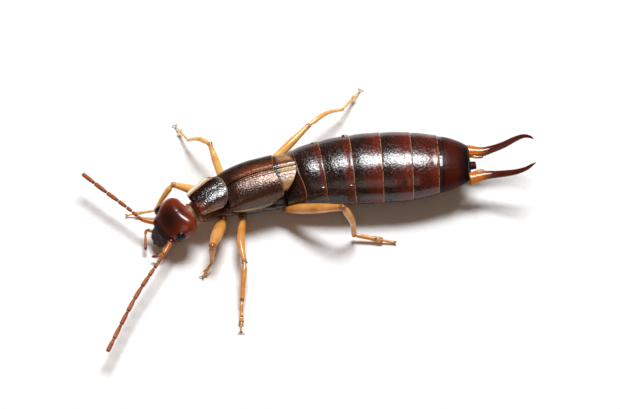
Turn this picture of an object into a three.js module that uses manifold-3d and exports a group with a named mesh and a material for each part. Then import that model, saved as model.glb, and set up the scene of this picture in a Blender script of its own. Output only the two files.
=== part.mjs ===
// A common earwig, female, life size, standing still in the pose of a museum model.
// Millimetres, +Z up. The head looks along -X and the forceps point along +X.
// The animal's left side is -Y. The feet stand on the plane z = 0.
import * as THREE from 'three';
import { mergeVertices } from 'three/addons/utils/BufferGeometryUtils.js';
import Module from 'manifold-3d';

const wasm = await Module();
wasm.setup();

// Driving dimensions
const GAP = 0.2;
const SOCKET_GAP = 0.12;
// A wing ends on a slant, so its cuts reach further back to leave the same gap
const SLANT_ALLOWANCE = 1.6;
const WING_THICKNESS = 0.5;
const WING_EDGE_THICKNESS = 0.3;
const LIMB_RADIUS = 0.25;
const ANKLE_RADIUS = 0.2;
const TOE_RADIUS = 0.13;
// Limb ends are bevelled over this length, but over no more than a share of a short limb
const BEVEL = 0.12;
const BEVEL_LIMIT = 0.3;
const BEVEL_RADIUS_SHARE = 0.7;
const CENTRE_SHIFT = [-0.06, -0.38, 0];

// Stations of the trunk from the neck to the tail: where the midline runs, how wide the
// body is on each side of it, and the heights of its top, its widest line and its underside
const TRUNK = [
  { x: -5.15, y: 0.4, half: 0.42, top: 1.58, wide: 1.2, base: 0.85 },
  { x: -4.8, y: 0.53, half: 0.5, top: 1.45, wide: 1.1, base: 0.72 },
  { x: -4.1, y: 0.76, half: 0.66, top: 1.25, wide: 0.98, base: 0.56 },
  { x: -3.3, y: 1.0, half: 0.8, top: 1.28, wide: 0.95, base: 0.5 },
  { x: -2.2, y: 1.21, half: 1.08, top: 1.32, wide: 0.88, base: 0.47 },
  { x: -1.1, y: 1.33, half: 1.18, top: 1.42, wide: 0.96, base: 0.45 },
  { x: -0.28, y: 1.34, half: 1.34, top: 2.06, wide: 1.1, base: 0.45 },
  { x: 0.8, y: 1.33, half: 1.54, top: 2.23, wide: 1.14, base: 0.42 },
  { x: 2.05, y: 1.23, half: 1.67, top: 2.34, wide: 1.17, base: 0.4 },
  { x: 3.28, y: 1.06, half: 1.71, top: 2.37, wide: 1.2, base: 0.4 },
  { x: 4.52, y: 0.86, half: 1.65, top: 2.33, wide: 1.23, base: 0.44 },
  { x: 5.62, y: 0.68, half: 1.42, top: 2.2, wide: 1.3, base: 0.58 },
  { x: 6.4, y: 0.52, half: 1.16, top: 2.0, wide: 1.36, base: 0.76 },
  { x: 6.95, y: 0.4, half: 0.86, top: 1.78, wide: 1.38, base: 0.98 },
];

// Where the neck and the two blocks of the thorax begin and end
const NECK = { front: -5.3, rear: -4.86 };
const PROTHORAX = { front: -4.66, rear: -3.46 };
const PTEROTHORAX = { front: -3.25, rear: -1.2 };

// Where each ring of the abdomen ends, in front of the forceps
const ABDOMEN_RINGS = [-0.95, -0.28, 0.8, 2.05, 3.28, 4.52, 5.62, 6.92];
const RING_POWER = 2.1;
const RING_TUCK = 0.03;
const GLAND_FOLD = { rings: [2, 3], back: 0.16, angle: 38, turn: 0.4, long: 0.13, high: 0.07 };
// The back plates of a ring stand out over its belly plates by a step on the flank
const TERGITE_STEP = { below: -0.12, depth: 0.05 };

// Head, in its own frame: +X to the mouth, +Y to the animal's left, +Z out of the brow
const HEAD_PLACE = { x: -5.79, y: 0.108, z: 1.15, yaw: 202.2, pitch: 30.4 };
const HEAD_STATIONS = [
  { x: -0.86, half: 0.49, top: 0.24, wide: 0, base: -0.34 },
  { x: -0.74, half: 0.73, top: 0.36, wide: 0, base: -0.44 },
  { x: -0.54, half: 0.86, top: 0.45, wide: 0, base: -0.5 },
  { x: -0.28, half: 1.0, top: 0.5, wide: 0, base: -0.52 },
  { x: 0.02, half: 0.96, top: 0.5, wide: 0, base: -0.52 },
  { x: 0.37, half: 0.76, top: 0.42, wide: 0, base: -0.46 },
  { x: 0.62, half: 0.61, top: 0.28, wide: -0.02, base: -0.38 },
];
const MOUTH_STATIONS = [
  { x: 0.66, half: 0.54, top: 0.22, wide: -0.05, base: -0.34 },
  { x: 0.84, half: 0.48, top: 0.12, wide: -0.08, base: -0.32 },
  { x: 1.02, half: 0.38, top: 0.02, wide: -0.12, base: -0.3 },
  { x: 1.18, half: 0.22, top: -0.08, wide: -0.16, base: -0.26 },
];
const SKULL = { rear: -0.8, front: 0.56 };
const MOUTH = { from: SKULL.front + SOCKET_GAP, to: 1.17 };
const HEAD_LOBES = 0.23;
const EYE = { x: 0.06, side: 0.82, z: 0.1, long: 0.25, thick: 0.19, high: 0.24 };

// Feelers: the path of each, from its socket on the brow to its tip
const ANTENNAE = {
  left: {
    scape: [[-6.0, -0.68, 1.0], [-6.44, -1.3, 1.0]],
    flagellum: [[-6.44, -1.3, 1.0], [-6.9, -1.86, 1.0], [-7.97, -3.23, 1.0], [-9.55, -5.66, 1.0]],
    joints: 10,
  },
  right: {
    scape: [[-6.42, 0.37, 1.0], [-7.02, 0.68, 1.0]],
    flagellum: [[-7.02, 0.68, 1.0], [-7.5, 1.4, 1.05], [-8.18, 2.3, 1.1], [-9.01, 3.46, 1.15]],
    joints: 7,
  },
};
const ANTENNA_GROOVE = 0.2;
const ANTENNA_TIP_RADIUS = 0.12;
const ANTENNA_TAPER_FROM = 0.8;
// Length of the first joint and how much longer each next one is, as shares of the longest
const ANTENNA_JOINT = { first: 0.45, growth: 0.14 };
const PALPS = {
  left: [[-6.3, -0.5, 0.62], [-6.46, -0.84, 0.42], [-6.89, -0.8, 0.3]],
  right: [[-6.62, 0.22, 0.66], [-6.87, 0.36, 0.62], [-6.99, 0.0, 0.42], [-7.06, -0.45, 0.33]],
};
const PALP_RADIUS = 0.2;
const PALP_TIP_RADIUS = 0.1;
// Nothing but the feet touches the floor
const PALP_CLEARANCE = 0.05;
const ANKLE_CLEARANCE = 0.04;

// Shield behind the head: its rounded outline, its domed disc and its thin rim
const PRONOTUM = {
  front: -4.86, rear: -3.34, cornerBack: 0.36, cornerFront: 0.06, halfFront: 0.68, halfRear: 0.92,
  shift: 0.15, top: 1.95, frontDip: 0.14, domePower: 3.2, rim: 1.62, rimThickness: 0.28,
};

// Wing covers and the tips of the folded hind wings, from the suture out to the edge
const TEGMEN = {
  start: (across) => -3.3 - 0.3 * across ** 2,
  end: (across) => -1.27 + 0.18 * Math.sin(0.75 * Math.PI * across)
    - 0.5 * THREE.MathUtils.smoothstep(across, 0.65, 1) ** 1.5,
  reach: 1,
  stations: [
    { x: -3.8, half: 0.86, top: 1.7, edge: 1.42 },
    { x: -3.4, half: 0.96, top: 1.84, edge: 1.3 },
    { x: -3.0, half: 1.04, top: 2.02, edge: 1.2 },
    { x: -2.2, half: 1.1, top: 2.13, edge: 1.14 },
    { x: -1.5, half: 1.08, top: 2.14, edge: 1.22 },
    { x: -0.9, half: 1.07, top: 2.14, edge: 1.3 },
  ],
};
const WING_TIP = {
  start: (across) => TEGMEN.end(across) + GAP,
  end: (across) => -0.3 - 0.62 * Math.min(1, across / 0.62) ** 2.1,
  reach: 0.62,
  stations: [
    { x: -1.3, half: 1.02, top: 2.1, edge: 1.32 },
    { x: -0.8, half: 1.02, top: 2.14, edge: 1.32 },
    { x: 0, half: 1.0, top: 2.18, edge: 1.32 },
  ],
};
// How square the cross-sections are: 2 is an ellipse
const WING_POWER = 2.3;
const BLOCK_POWER = 2.2;
const HEAD_POWER = 2.1;
const MOUTH_POWER = 2.4;

// Legs: the joints of each one, and how far the femur bows forwards and the tibia upwards
const LEGS = {
  left_fore: {
    hip: [-3.7, 0.05, 0.82], knee: [-4.45, -1.55, 1.3], ankle: [-4.53, -1.74, 0.43],
    toe: [-5.0, -2.09, 0.1], forward: 0, arch: 0,
  },
  left_middle: {
    hip: [-2.84, 0.02, 0.81], knee: [-3.24, -2.28, 0.83], ankle: [-3.67, -3.86, 0.42],
    toe: [-3.98, -5.2, 0.1], forward: 0.13, arch: 0,
  },
  left_hind: {
    hip: [-1.0, 0.14, 0.76], knee: [1.12, -1.34, 2.19], ankle: [1.57, -1.45, 0.34],
    toe: [3.21, -2.01, 0.1], forward: 0, arch: 0.04,
  },
  right_fore: {
    hip: [-3.85, 1.5, 0.78], knee: [-5.46, 1.87, 1.47], ankle: [-6.3, 1.49, 0.4],
    toe: [-7.49, 1.73, 0.1], forward: 0, arch: 0.08,
  },
  right_middle: {
    hip: [-3.27, 2.04, 0.78], knee: [-3.53, 3.7, 1.47], ankle: [-4.27, 4.84, 0.51],
    toe: [-4.61, 6.1, 0.1], forward: 0, arch: 0.2,
  },
  right_hind: {
    hip: [-1.5, 2.38, 0.76], knee: [0.79, 3.94, 1.31], ankle: [2.51, 5.06, 0.6],
    toe: [3.59, 6.4, 0.1], forward: 0, arch: 0.26,
  },
};
const COXA_ROOT = { side: 0.42, z: 0.62 };
// How much thicker the middle of a femur is than its ends
const FEMUR_SWELL = { fore: 0.16, middle: 0, hind: 0.06 };

// Forceps: the path of each branch from its root to its raised tip
const FORCEPS = {
  left: [
    [7.02, -0.34, 1.38], [7.41, -0.33, 1.42], [7.87, -0.44, 1.5], [8.37, -0.6, 1.66],
    [8.71, -0.7, 1.8], [9.06, -0.74, 1.96], [9.31, -0.69, 2.07], [9.49, -0.65, 2.14],
  ],
  right: [
    [7.24, 1.02, 1.39], [7.59, 0.93, 1.42], [8.02, 0.92, 1.5], [8.51, 0.92, 1.66],
    [9.01, 0.98, 1.84], [9.36, 0.95, 1.98], [9.59, 0.78, 2.08], [9.7, 0.59, 2.14],
  ],
};
const FORCEPS_THICKNESS = [
  { x: 0, radius: 0.27 }, { x: 0.18, radius: 0.25 }, { x: 0.34, radius: 0.2 }, { x: 0.68, radius: 0.14 },
  { x: 1, radius: 0.07 },
];
const PYGIDIUM = { x: 7.12, side: -0.1, z: 1.36, length: 0.24, half: 0.18 };

// Colours
const COLOUR = {
  head: 0x541a0e,
  eye: 0x1d1b1d,
  mouth: 0x2e1a1c,
  antenna: 0xa9521f,
  leg: 0xdb9440,
  neck: 0xa6683a,
  pronotum: 0x2b1713,
  wing: 0x3d2319,
  wingTip: 0xa98058,
  thorax: 0x221c1e,
  abdomen: 0x3d1410,
  forceps: 0x6b2412,
};

const model = new THREE.Group();

// Value of one measure of a list of stations at a place along x, on a smooth curve
function measure(stations, x, key) {
  const last = stations.length - 1;
  let i = 0;
  while (i < last - 1 && x > stations[i + 1].x) i++;
  const a = stations[i];
  const b = stations[i + 1];
  const before = stations[Math.max(i - 1, 0)];
  const after = stations[Math.min(i + 2, last)];
  const width = b.x - a.x;
  const t = THREE.MathUtils.clamp((x - a.x) / width, 0, 1);
  const slopeA = (b[key] - before[key]) / (b.x - before.x) * width;
  const slopeB = (after[key] - a[key]) / (after.x - a.x) * width;
  const t2 = t * t;
  const t3 = t2 * t;
  return a[key] * (2 * t3 - 3 * t2 + 1) + slopeA * (t3 - 2 * t2 + t)
    + b[key] * (3 * t2 - 2 * t3) + slopeB * (t3 - t2);
}

// The same geometry with shared vertices and its faces pointing out
function closed(geometry) {
  const bare = geometry.clone();
  bare.deleteAttribute('normal');
  bare.deleteAttribute('uv');
  const merged = mergeVertices(bare, 1e-4);
  const index = merged.index.array;
  const corner = [new THREE.Vector3(), new THREE.Vector3(), new THREE.Vector3()];
  let volume = 0;
  for (let i = 0; i < index.length; i += 3) {
    corner.forEach((c, k) => c.fromBufferAttribute(merged.attributes.position, index[i + k]));
    volume += corner[0].dot(corner[1].cross(corner[2]));
  }
  if (volume < 0) {
    for (let i = 0; i < index.length; i += 3) {
      [index[i + 1], index[i + 2]] = [index[i + 2], index[i + 1]];
    }
  }
  return merged;
}

function toSolid(geometry) {
  const merged = closed(geometry);
  return new wasm.Manifold(new wasm.Mesh({
    numProp: 3,
    vertProperties: Float32Array.from(merged.attributes.position.array),
    triVerts: Uint32Array.from(merged.index.array),
  }));
}

function toGeometry(solid) {
  const mesh = solid.getMesh();
  const geometry = new THREE.BufferGeometry();
  geometry.setAttribute('position', new THREE.BufferAttribute(new Float32Array(mesh.vertProperties), 3));
  geometry.setIndex(Array.from(mesh.triVerts));
  return geometry;
}

// One body: pieces joined, neighbours cut away, and only the largest closed surface kept
function fuse(pieces, cuts = []) {
  let solid = toSolid(pieces[0]);
  for (const piece of pieces.slice(1)) solid = solid.add(toSolid(piece));
  for (const cut of cuts) solid = solid.subtract(toSolid(cut));
  const bodies = solid.decompose();
  bodies.sort((a, b) => b.volume() - a.volume());
  return toGeometry(bodies[0]);
}

// A closed body swept through rings: ring(t, across, up) gives the place of a point of the
// ring at t from 0 to 1, where across and up lie on a circle of radius 1
function sweep(ring, steps, sides) {
  const geometry = new THREE.CylinderGeometry(1, 1, 1, sides, steps);
  const position = geometry.attributes.position;
  for (let i = 0; i < position.count; i++) {
    const place = ring(position.getY(i) + 0.5, position.getX(i), position.getZ(i));
    position.setXYZ(i, place.x, place.y, place.z);
  }
  return closed(geometry);
}

// A plate bent from a slab: surface(u, v, w) with u along, v across and w through it
function plate(surface, steps, strips) {
  const geometry = new THREE.BoxGeometry(1, 1, 1, steps, strips, 1);
  const position = geometry.attributes.position;
  for (let i = 0; i < position.count; i++) {
    const place = surface(position.getX(i) + 0.5, position.getY(i) + 0.5, position.getZ(i) + 0.5);
    position.setXYZ(i, place.x, place.y, place.z);
  }
  return closed(geometry);
}

// A circle of radius 1 pushed out towards a square by the power of its equation
function squared(across, up, power) {
  const reach = Math.abs(across) ** power + Math.abs(up) ** power;
  const scale = reach > 0 ? Math.hypot(across, up) / reach ** (1 / power) : 1;
  return [across * scale, up * scale];
}

// A round limb along a path, thick as radius(s), with its ends bevelled
function limb(points, radius, { steps = 6, sides = 8, grow = 0, floor = null, flat = 1 } = {}) {
  const path = new THREE.CatmullRomCurve3(points.map((p) => new THREE.Vector3(...p)), false, 'centripetal');
  const upward = new THREE.Vector3(0, 0, 1);
  const bevel = Math.min(BEVEL_LIMIT, BEVEL / path.getLength());
  return sweep((t, across, up) => {
    const row = Math.round(t * steps);
    const inner = THREE.MathUtils.lerp(bevel, 1 - bevel, (row - 1) / (steps - 2));
    const atEnd = row === 0 || row === steps;
    const s = atEnd ? t : inner;
    const place = path.getPointAt(s);
    const along = path.getTangentAt(s);
    const side = new THREE.Vector3().crossVectors(along, upward).normalize();
    const out = new THREE.Vector3().crossVectors(side, along);
    const thick = radius(s) * (atEnd ? BEVEL_RADIUS_SHARE : 1) + grow;
    if (row <= 1) place.addScaledVector(along, -grow);
    if (row >= steps - 1) place.addScaledVector(along, grow);
    place.addScaledVector(side, across * thick).addScaledVector(out, up * thick * flat);
    if (floor !== null) place.z = Math.max(place.z, floor);
    return place;
  }, steps, sides);
}

function addNode(name, geometry, colour, { parent = model, roughness = 0.35 } = {}) {
  const material = new THREE.MeshStandardMaterial({ color: colour, roughness, metalness: 0 });
  const mesh = new THREE.Mesh(geometry, material);
  mesh.name = name;
  parent.add(mesh);
  return mesh;
}

// Place in the animal's frame of a point given beside the trunk's midline
function beside(x, side, z) {
  const slope = (measure(TRUNK, x + 0.05, 'y') - measure(TRUNK, x - 0.05, 'y')) / 0.1;
  const lean = Math.hypot(1, slope);
  return new THREE.Vector3(x - side * slope / lean, measure(TRUNK, x, 'y') + side / lean, z);
}

// A body through a list of stations, between two places along x
function loft(stations, from, to, { steps, sides, power, tuck = 0, step = 0, grow = 0, place } = {}) {
  return sweep((t, across, up) => {
    const x = THREE.MathUtils.lerp(from - grow, to + grow, t);
    const [a, b] = squared(across, up, power);
    const swell = 1 - tuck * (1 - t) ** 2 - (b < TERGITE_STEP.below ? step : 0);
    const wide = measure(stations, x, 'wide');
    const reach = b > 0 ? measure(stations, x, 'top') - wide : wide - measure(stations, x, 'base');
    return place(x, -a * (measure(stations, x, 'half') * swell + grow), wide + b * (reach * swell + grow));
  }, steps, sides);
}

// Shield of the first ring of the thorax
function buildPronotum(headCuts) {
  const shape = (grow) => plate((u, v, w) => {
    const side = 2 * v - 1;
    const from = PRONOTUM.front - grow + PRONOTUM.cornerFront * side ** 4;
    const to = PRONOTUM.rear + grow - PRONOTUM.cornerBack * Math.abs(side) ** 3;
    const x = THREE.MathUtils.lerp(from, to, u);
    const half = THREE.MathUtils.lerp(PRONOTUM.halfFront, PRONOTUM.halfRear, u) + grow;
    const height = PRONOTUM.top - PRONOTUM.rim - PRONOTUM.frontDip * (1 - u) ** 2;
    const dome = (1 - Math.abs(side) ** PRONOTUM.domePower) * height;
    const thick = THREE.MathUtils.lerp(WING_THICKNESS, PRONOTUM.rimThickness, side ** 2) + 2 * grow;
    return beside(x, side * half + PRONOTUM.shift * u, PRONOTUM.rim + grow + dome - w * thick);
  }, 6, 12);
  addNode('pronotum', fuse([shape(0)], headCuts), COLOUR.pronotum);
  return shape(GAP);
}

// One side's wing cover or wing tip, lying over the back like a bent tile
function wing(spec, out, grow, steps, strips) {
  return plate((u, v, w) => {
    const across = v * (spec.reach < 1 ? spec.reach + grow : 1);
    const from = spec.start(across) - grow;
    const to = spec.end(across) + SLANT_ALLOWANCE * grow;
    const x = THREE.MathUtils.lerp(from, to, u);
    const angle = across * Math.PI / 2;
    const [a, b] = squared(Math.sin(angle), Math.cos(angle), WING_POWER);
    const half = measure(spec.stations, x, 'half') + grow - w * (WING_EDGE_THICKNESS + 2 * grow);
    const edge = measure(spec.stations, x, 'edge') - grow;
    const rise = measure(spec.stations, x, 'top') + grow - w * (WING_THICKNESS + 2 * grow) - edge;
    const inner = GAP / 2 - grow;
    return beside(x, out * (inner + a * (half - inner)), edge + b * rise);
  }, steps, strips);
}

function buildWings(shieldCut) {
  const cuts = { cover: [], tip: [] };
  for (const [name, out] of [['left', -1], ['right', 1]]) {
    addNode(`${name}_wing_cover`, fuse([wing(TEGMEN, out, 0, 8, 8)], [shieldCut]), COLOUR.wing);
    addNode(`${name}_wing_tip`, wing(WING_TIP, out, 0, 4, 6), COLOUR.wingTip);
    cuts.cover.push(wing(TEGMEN, out, GAP, 4, 6));
    cuts.tip.push(wing(WING_TIP, out, GAP, 4, 6));
  }
  return cuts;
}

// Head, with a socket for each eye
function buildHead() {
  const frame = new THREE.Group();
  frame.position.set(HEAD_PLACE.x, HEAD_PLACE.y, HEAD_PLACE.z);
  frame.rotation.set(
    0, THREE.MathUtils.degToRad(HEAD_PLACE.pitch), THREE.MathUtils.degToRad(HEAD_PLACE.yaw), 'ZYX');
  frame.updateMatrix();
  model.add(frame);
  const local = (x, side, z) => new THREE.Vector3(x, side, z);
  // The hind edge is hollowed in the middle, so the hind corners are two round lobes
  const lobed = (x, side, z) => {
    const behind = THREE.MathUtils.clamp(-2 * x, 0, 1);
    return local(x - HEAD_LOBES * side ** 2 * behind, side, z);
  };
  const round = { steps: 9, sides: 24, power: HEAD_POWER, place: lobed };
  const skull = (grow) => loft(HEAD_STATIONS, SKULL.rear, SKULL.front, { ...round, grow });
  const eye = (out, grow) => new THREE.SphereGeometry(1, 12, 8)
    .scale(EYE.long + grow, EYE.thick + grow, EYE.high + grow)
    .translate(EYE.x, out * EYE.side, EYE.z);
  const boxy = { steps: 4, sides: 16, power: MOUTH_POWER, place: local };
  const mouth = (grow) => loft(MOUTH_STATIONS, MOUTH.from, MOUTH.to, { ...boxy, grow });
  const sockets = [eye(1, SOCKET_GAP), eye(-1, SOCKET_GAP)];
  addNode('head', fuse([skull(0)], sockets), COLOUR.head, { parent: frame });
  addNode('left_eye', closed(eye(1, 0)), COLOUR.eye, { parent: frame });
  addNode('right_eye', closed(eye(-1, 0)), COLOUR.eye, { parent: frame });
  addNode('mouthparts', mouth(0), COLOUR.mouth, { parent: frame });
  const cuts = [skull(SOCKET_GAP), mouth(SOCKET_GAP), ...sockets];
  return cuts.map((geometry) => geometry.clone().applyMatrix4(frame.matrix));
}

// Feelers: a scape at the brow, then the jointed whip in two lengths
function buildAntennae(headCuts) {
  for (const [name, feeler] of Object.entries(ANTENNAE)) {
    const scape = (grow) => limb(feeler.scape, () => LIMB_RADIUS, { grow, steps: 4 });
    const whip = new THREE.CatmullRomCurve3(
      feeler.flagellum.map((p) => new THREE.Vector3(...p)), false, 'centripetal');
    // The joints of the whip get longer outwards; each is a bead between two grooves
    const joints = feeler.joints;
    const { first: shortest, growth } = ANTENNA_JOINT;
    const lengths = Array.from({ length: joints }, (_, i) => Math.min(1, shortest + growth * i));
    const sum = (list) => list.reduce((total, length) => total + length, 0);
    const ends = lengths.map((_, i) => sum(lengths.slice(0, i + 1)) / sum(lengths));
    const stretch = (first, last, grow) => {
      const from = first > 0 ? ends[first - 1] + GAP / whip.getLength() : 0;
      const to = ends[last];
      const shares = [0, 1 / 3, 2 / 3, 1];
      const points = shares.map((share) => whip.getPointAt(THREE.MathUtils.lerp(from, to, share)).toArray());
      const radius = (s) => {
        const along = THREE.MathUtils.lerp(from, to, s);
        const i = Math.max(0, ends.findIndex((end) => along <= end + 1e-9));
        const start = i > 0 ? ends[i - 1] : 0;
        const bead = (along - start) / (ends[i] - start);
        const groove = grow > 0 ? 0 : ANTENNA_GROOVE * (2 * Math.abs(bead - 0.6)) ** 4;
        const thinned = THREE.MathUtils.clamp((along - ANTENNA_TAPER_FROM) / (1 - ANTENNA_TAPER_FROM), 0, 1);
        return THREE.MathUtils.lerp(LIMB_RADIUS, ANTENNA_TIP_RADIUS, thinned) * (1 - groove);
      };
      return limb(points, radius, { grow, steps: grow > 0 ? 6 : 3 * (last - first + 1) + 2 });
    };
    const middle = Math.floor(joints / 2) - 1;
    addNode(`${name}_antenna_scape`, fuse([scape(0)], headCuts), COLOUR.antenna);
    addNode(`${name}_antenna_base`, fuse([stretch(0, middle, 0)], [scape(GAP)]), COLOUR.antenna);
    addNode(`${name}_antenna_tip`, stretch(middle + 1, joints - 1, 0), COLOUR.antenna);
    const thinning = (s) => THREE.MathUtils.lerp(PALP_RADIUS, PALP_TIP_RADIUS, s);
    const palp = limb(PALPS[name], thinning, { floor: PALP_CLEARANCE });
    addNode(`${name}_palp`, fuse([palp], [...headCuts, scape(GAP)]), COLOUR.leg);
  }
}

// The point in the middle between two others, moved by an offset
function halfway(a, b, offset) {
  return a.map((value, axis) => (value + b[axis]) / 2 + offset[axis]);
}

// Legs: each piece is cut clear of the one that it grows from
function buildLegs(shieldCut) {
  const cuts = [];
  for (const [name, leg] of Object.entries(LEGS)) {
    const pair = name.split('_')[1];
    const out = name.startsWith('left') ? -1 : 1;
    const root = beside(leg.hip[0], out * COXA_ROOT.side, COXA_ROOT.z).toArray();
    const swell = FEMUR_SWELL[pair];
    const coxa = (grow) => limb([root, leg.hip], () => LIMB_RADIUS, { steps: 4, grow });
    const thigh = [leg.hip, halfway(leg.hip, leg.knee, [-leg.forward, 0, 0]), leg.knee];
    const shin = [leg.knee, halfway(leg.knee, leg.ankle, [0, 0, leg.arch]), leg.ankle];
    const femur = (grow) => limb(thigh, (s) => LIMB_RADIUS * (1 + swell * Math.sin(Math.PI * s)), { grow });
    const tibia = (grow) => limb(
      shin, (s) => THREE.MathUtils.lerp(LIMB_RADIUS, ANKLE_RADIUS, s),
      { grow, floor: grow > 0 ? null : ANKLE_CLEARANCE });
    const tarsus = limb(
      [leg.ankle, leg.toe], (s) => THREE.MathUtils.lerp(ANKLE_RADIUS, TOE_RADIUS, s), { floor: 0 });
    cuts.push(coxa(GAP), femur(GAP));
    addNode(`${name}_coxa`, coxa(0), COLOUR.leg);
    addNode(`${name}_femur`, fuse([femur(0)], [coxa(GAP), shieldCut]), COLOUR.leg);
    addNode(`${name}_tibia`, fuse([tibia(0)], [femur(GAP)]), COLOUR.leg);
    addNode(`${name}_tarsus`, fuse([tarsus], [tibia(GAP)]), COLOUR.leg);
  }
  return cuts;
}

// The small raised fold of the scent gland on each flank of a ring, at a place along x
function glandFolds(x) {
  const angle = THREE.MathUtils.degToRad(GLAND_FOLD.angle);
  const [a, b] = squared(Math.cos(angle), Math.sin(angle), RING_POWER);
  const wide = measure(TRUNK, x, 'wide');
  const height = wide + b * (measure(TRUNK, x, 'top') - wide);
  return [-1, 1].map((out) => {
    const place = beside(x, out * a * measure(TRUNK, x, 'half'), height);
    return new THREE.SphereGeometry(1, 8, 6)
      .scale(GLAND_FOLD.long, GLAND_FOLD.high, GLAND_FOLD.high)
      .rotateZ(-out * GLAND_FOLD.turn)
      .translate(place.x, place.y, place.z);
  });
}

// Trunk: the neck, the two blocks of the thorax and the rings of the abdomen
function buildTrunk(headCuts, shieldCut, wingCuts, legCuts) {
  const block = { steps: 6, sides: 20, power: BLOCK_POWER, place: beside };
  const neck = loft(TRUNK, NECK.front, NECK.rear, { ...block, steps: 2 });
  addNode('neck', fuse([neck], [...headCuts, shieldCut]), COLOUR.neck);
  const first = loft(TRUNK, PROTHORAX.front, PROTHORAX.rear, block);
  addNode('prothorax', fuse([first], [shieldCut, ...legCuts, ...wingCuts.cover]), COLOUR.thorax);
  const second = loft(TRUNK, PTEROTHORAX.front, PTEROTHORAX.rear, block);
  const cutsForSecond = [shieldCut, ...legCuts, ...wingCuts.cover, ...wingCuts.tip];
  addNode('pterothorax', fuse([second], cutsForSecond), COLOUR.thorax);
  for (let i = 1; i < ABDOMEN_RINGS.length; i++) {
    const last = i === ABDOMEN_RINGS.length - 1;
    const plates = { power: RING_POWER, tuck: RING_TUCK, step: TERGITE_STEP.depth };
    const from = ABDOMEN_RINGS[i - 1] + (i > 1 ? GAP : 0);
    const ring = loft(TRUNK, from, ABDOMEN_RINGS[i], { ...plates, steps: 4, sides: 32, place: beside });
    const folds = GLAND_FOLD.rings.includes(i) ? glandFolds(ABDOMEN_RINGS[i] - GLAND_FOLD.back) : [];
    const cuts = i < 4 ? [...wingCuts.cover, ...wingCuts.tip, ...legCuts] : [];
    addNode(last ? 'abdomen_last_ring' : `abdomen_ring_${i}`, fuse([ring, ...folds], cuts), COLOUR.abdomen);
  }
}

// Forceps: two curved branches behind the last ring, and the small plate between them
function buildForceps() {
  const thickness = (s) => measure(FORCEPS_THICKNESS, s, 'radius');
  for (const [name, path] of Object.entries(FORCEPS)) {
    addNode(`${name}_forceps_branch`, limb(path, thickness, { steps: 16, sides: 10 }), COLOUR.forceps);
  }
  const plateRoot = beside(PYGIDIUM.x, PYGIDIUM.side, PYGIDIUM.z).toArray();
  const plateTip = beside(PYGIDIUM.x + PYGIDIUM.length, PYGIDIUM.side, PYGIDIUM.z).toArray();
  const pygidium = limb([plateRoot, plateTip], () => PYGIDIUM.half, { steps: 3, flat: 0.8 });
  addNode('pygidium', pygidium, COLOUR.forceps);
}

const headCuts = buildHead();
const shieldCut = buildPronotum(headCuts);
const wingCuts = buildWings(shieldCut);
const legCuts = buildLegs(shieldCut);
buildTrunk(headCuts, shieldCut, wingCuts, legCuts);
buildAntennae(headCuts);
buildForceps();

model.position.set(...CENTRE_SHIFT);

export default model;
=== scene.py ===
"""A common earwig, female, life size, as a still museum model: its looks around the solid frame.

Sizes are in millimetres in the animal's own frame: the head looks along -X, the left side is -Y
and the feet stand on z = 0. put() moves them to the frame's origin and to metres.
"""

import math

import bpy
import numpy as np
from mathutils import Matrix, Vector


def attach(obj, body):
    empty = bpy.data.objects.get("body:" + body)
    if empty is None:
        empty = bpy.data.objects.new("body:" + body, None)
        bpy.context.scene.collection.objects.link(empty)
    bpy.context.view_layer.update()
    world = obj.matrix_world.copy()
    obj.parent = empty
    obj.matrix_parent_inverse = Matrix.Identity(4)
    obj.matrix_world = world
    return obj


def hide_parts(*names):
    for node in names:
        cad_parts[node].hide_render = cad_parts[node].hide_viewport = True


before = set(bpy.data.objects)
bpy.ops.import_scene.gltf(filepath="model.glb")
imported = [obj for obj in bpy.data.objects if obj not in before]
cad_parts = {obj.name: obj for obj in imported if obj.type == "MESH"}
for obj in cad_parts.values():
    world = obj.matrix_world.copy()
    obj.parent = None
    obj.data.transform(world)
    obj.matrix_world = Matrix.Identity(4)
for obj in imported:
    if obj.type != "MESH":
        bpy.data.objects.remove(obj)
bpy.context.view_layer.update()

MM = 0.001
SHIFT = np.array([-0.06, -0.38, 0.0])
UP = np.array([0.0, 0.0, 1.0])
SIDES = (("left", -1), ("right", 1))

# Trunk: midline, half width, and heights of the top, the widest line and the underside
TRUNK_KEYS = "x y half top wide base"
TRUNK = [
    (-5.15, 0.40, 0.42, 1.58, 1.20, 0.85), (-4.80, 0.53, 0.50, 1.45, 1.10, 0.72),
    (-4.10, 0.76, 0.66, 1.25, 0.98, 0.56), (-3.30, 1.00, 0.80, 1.28, 0.95, 0.50),
    (-2.20, 1.21, 1.08, 1.32, 0.88, 0.47), (-1.10, 1.33, 1.18, 1.42, 0.96, 0.45),
    (-0.28, 1.34, 1.34, 2.06, 1.10, 0.45), (0.80, 1.33, 1.54, 2.23, 1.14, 0.42),
    (2.05, 1.23, 1.67, 2.34, 1.17, 0.40), (3.28, 1.06, 1.71, 2.37, 1.20, 0.40),
    (4.52, 0.86, 1.65, 2.33, 1.23, 0.44), (5.62, 0.68, 1.42, 2.20, 1.30, 0.58),
    (6.40, 0.52, 1.16, 2.00, 1.36, 0.76), (6.95, 0.40, 0.86, 1.78, 1.38, 0.98),
]
RING_ENDS = [-0.95, -0.28, 0.80, 2.05, 3.28, 4.52, 5.62, 6.92]
RING_POWER = 2.1
RING_TUCK = 0.16
RING_LIP = 0.018
# The first ring is this much longer on the near flank, and the second one starts further back there
RING_SHIFT = 0.16
# How the last ring closes: how far before its end the curve starts, its length and its depth
CLOSE_FROM, CLOSE_LENGTH, CLOSE_DEPTH = 0.12, 0.14, 0.34
# How red the hind part of each ring is, and where along the ring it starts
RING_RED = [(0.4, 0.6), (0.75, 0.64), (0.85, 0.55), (1.0, 0.36), (1.0, 0.28), (1.0, 0.05)]

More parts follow.
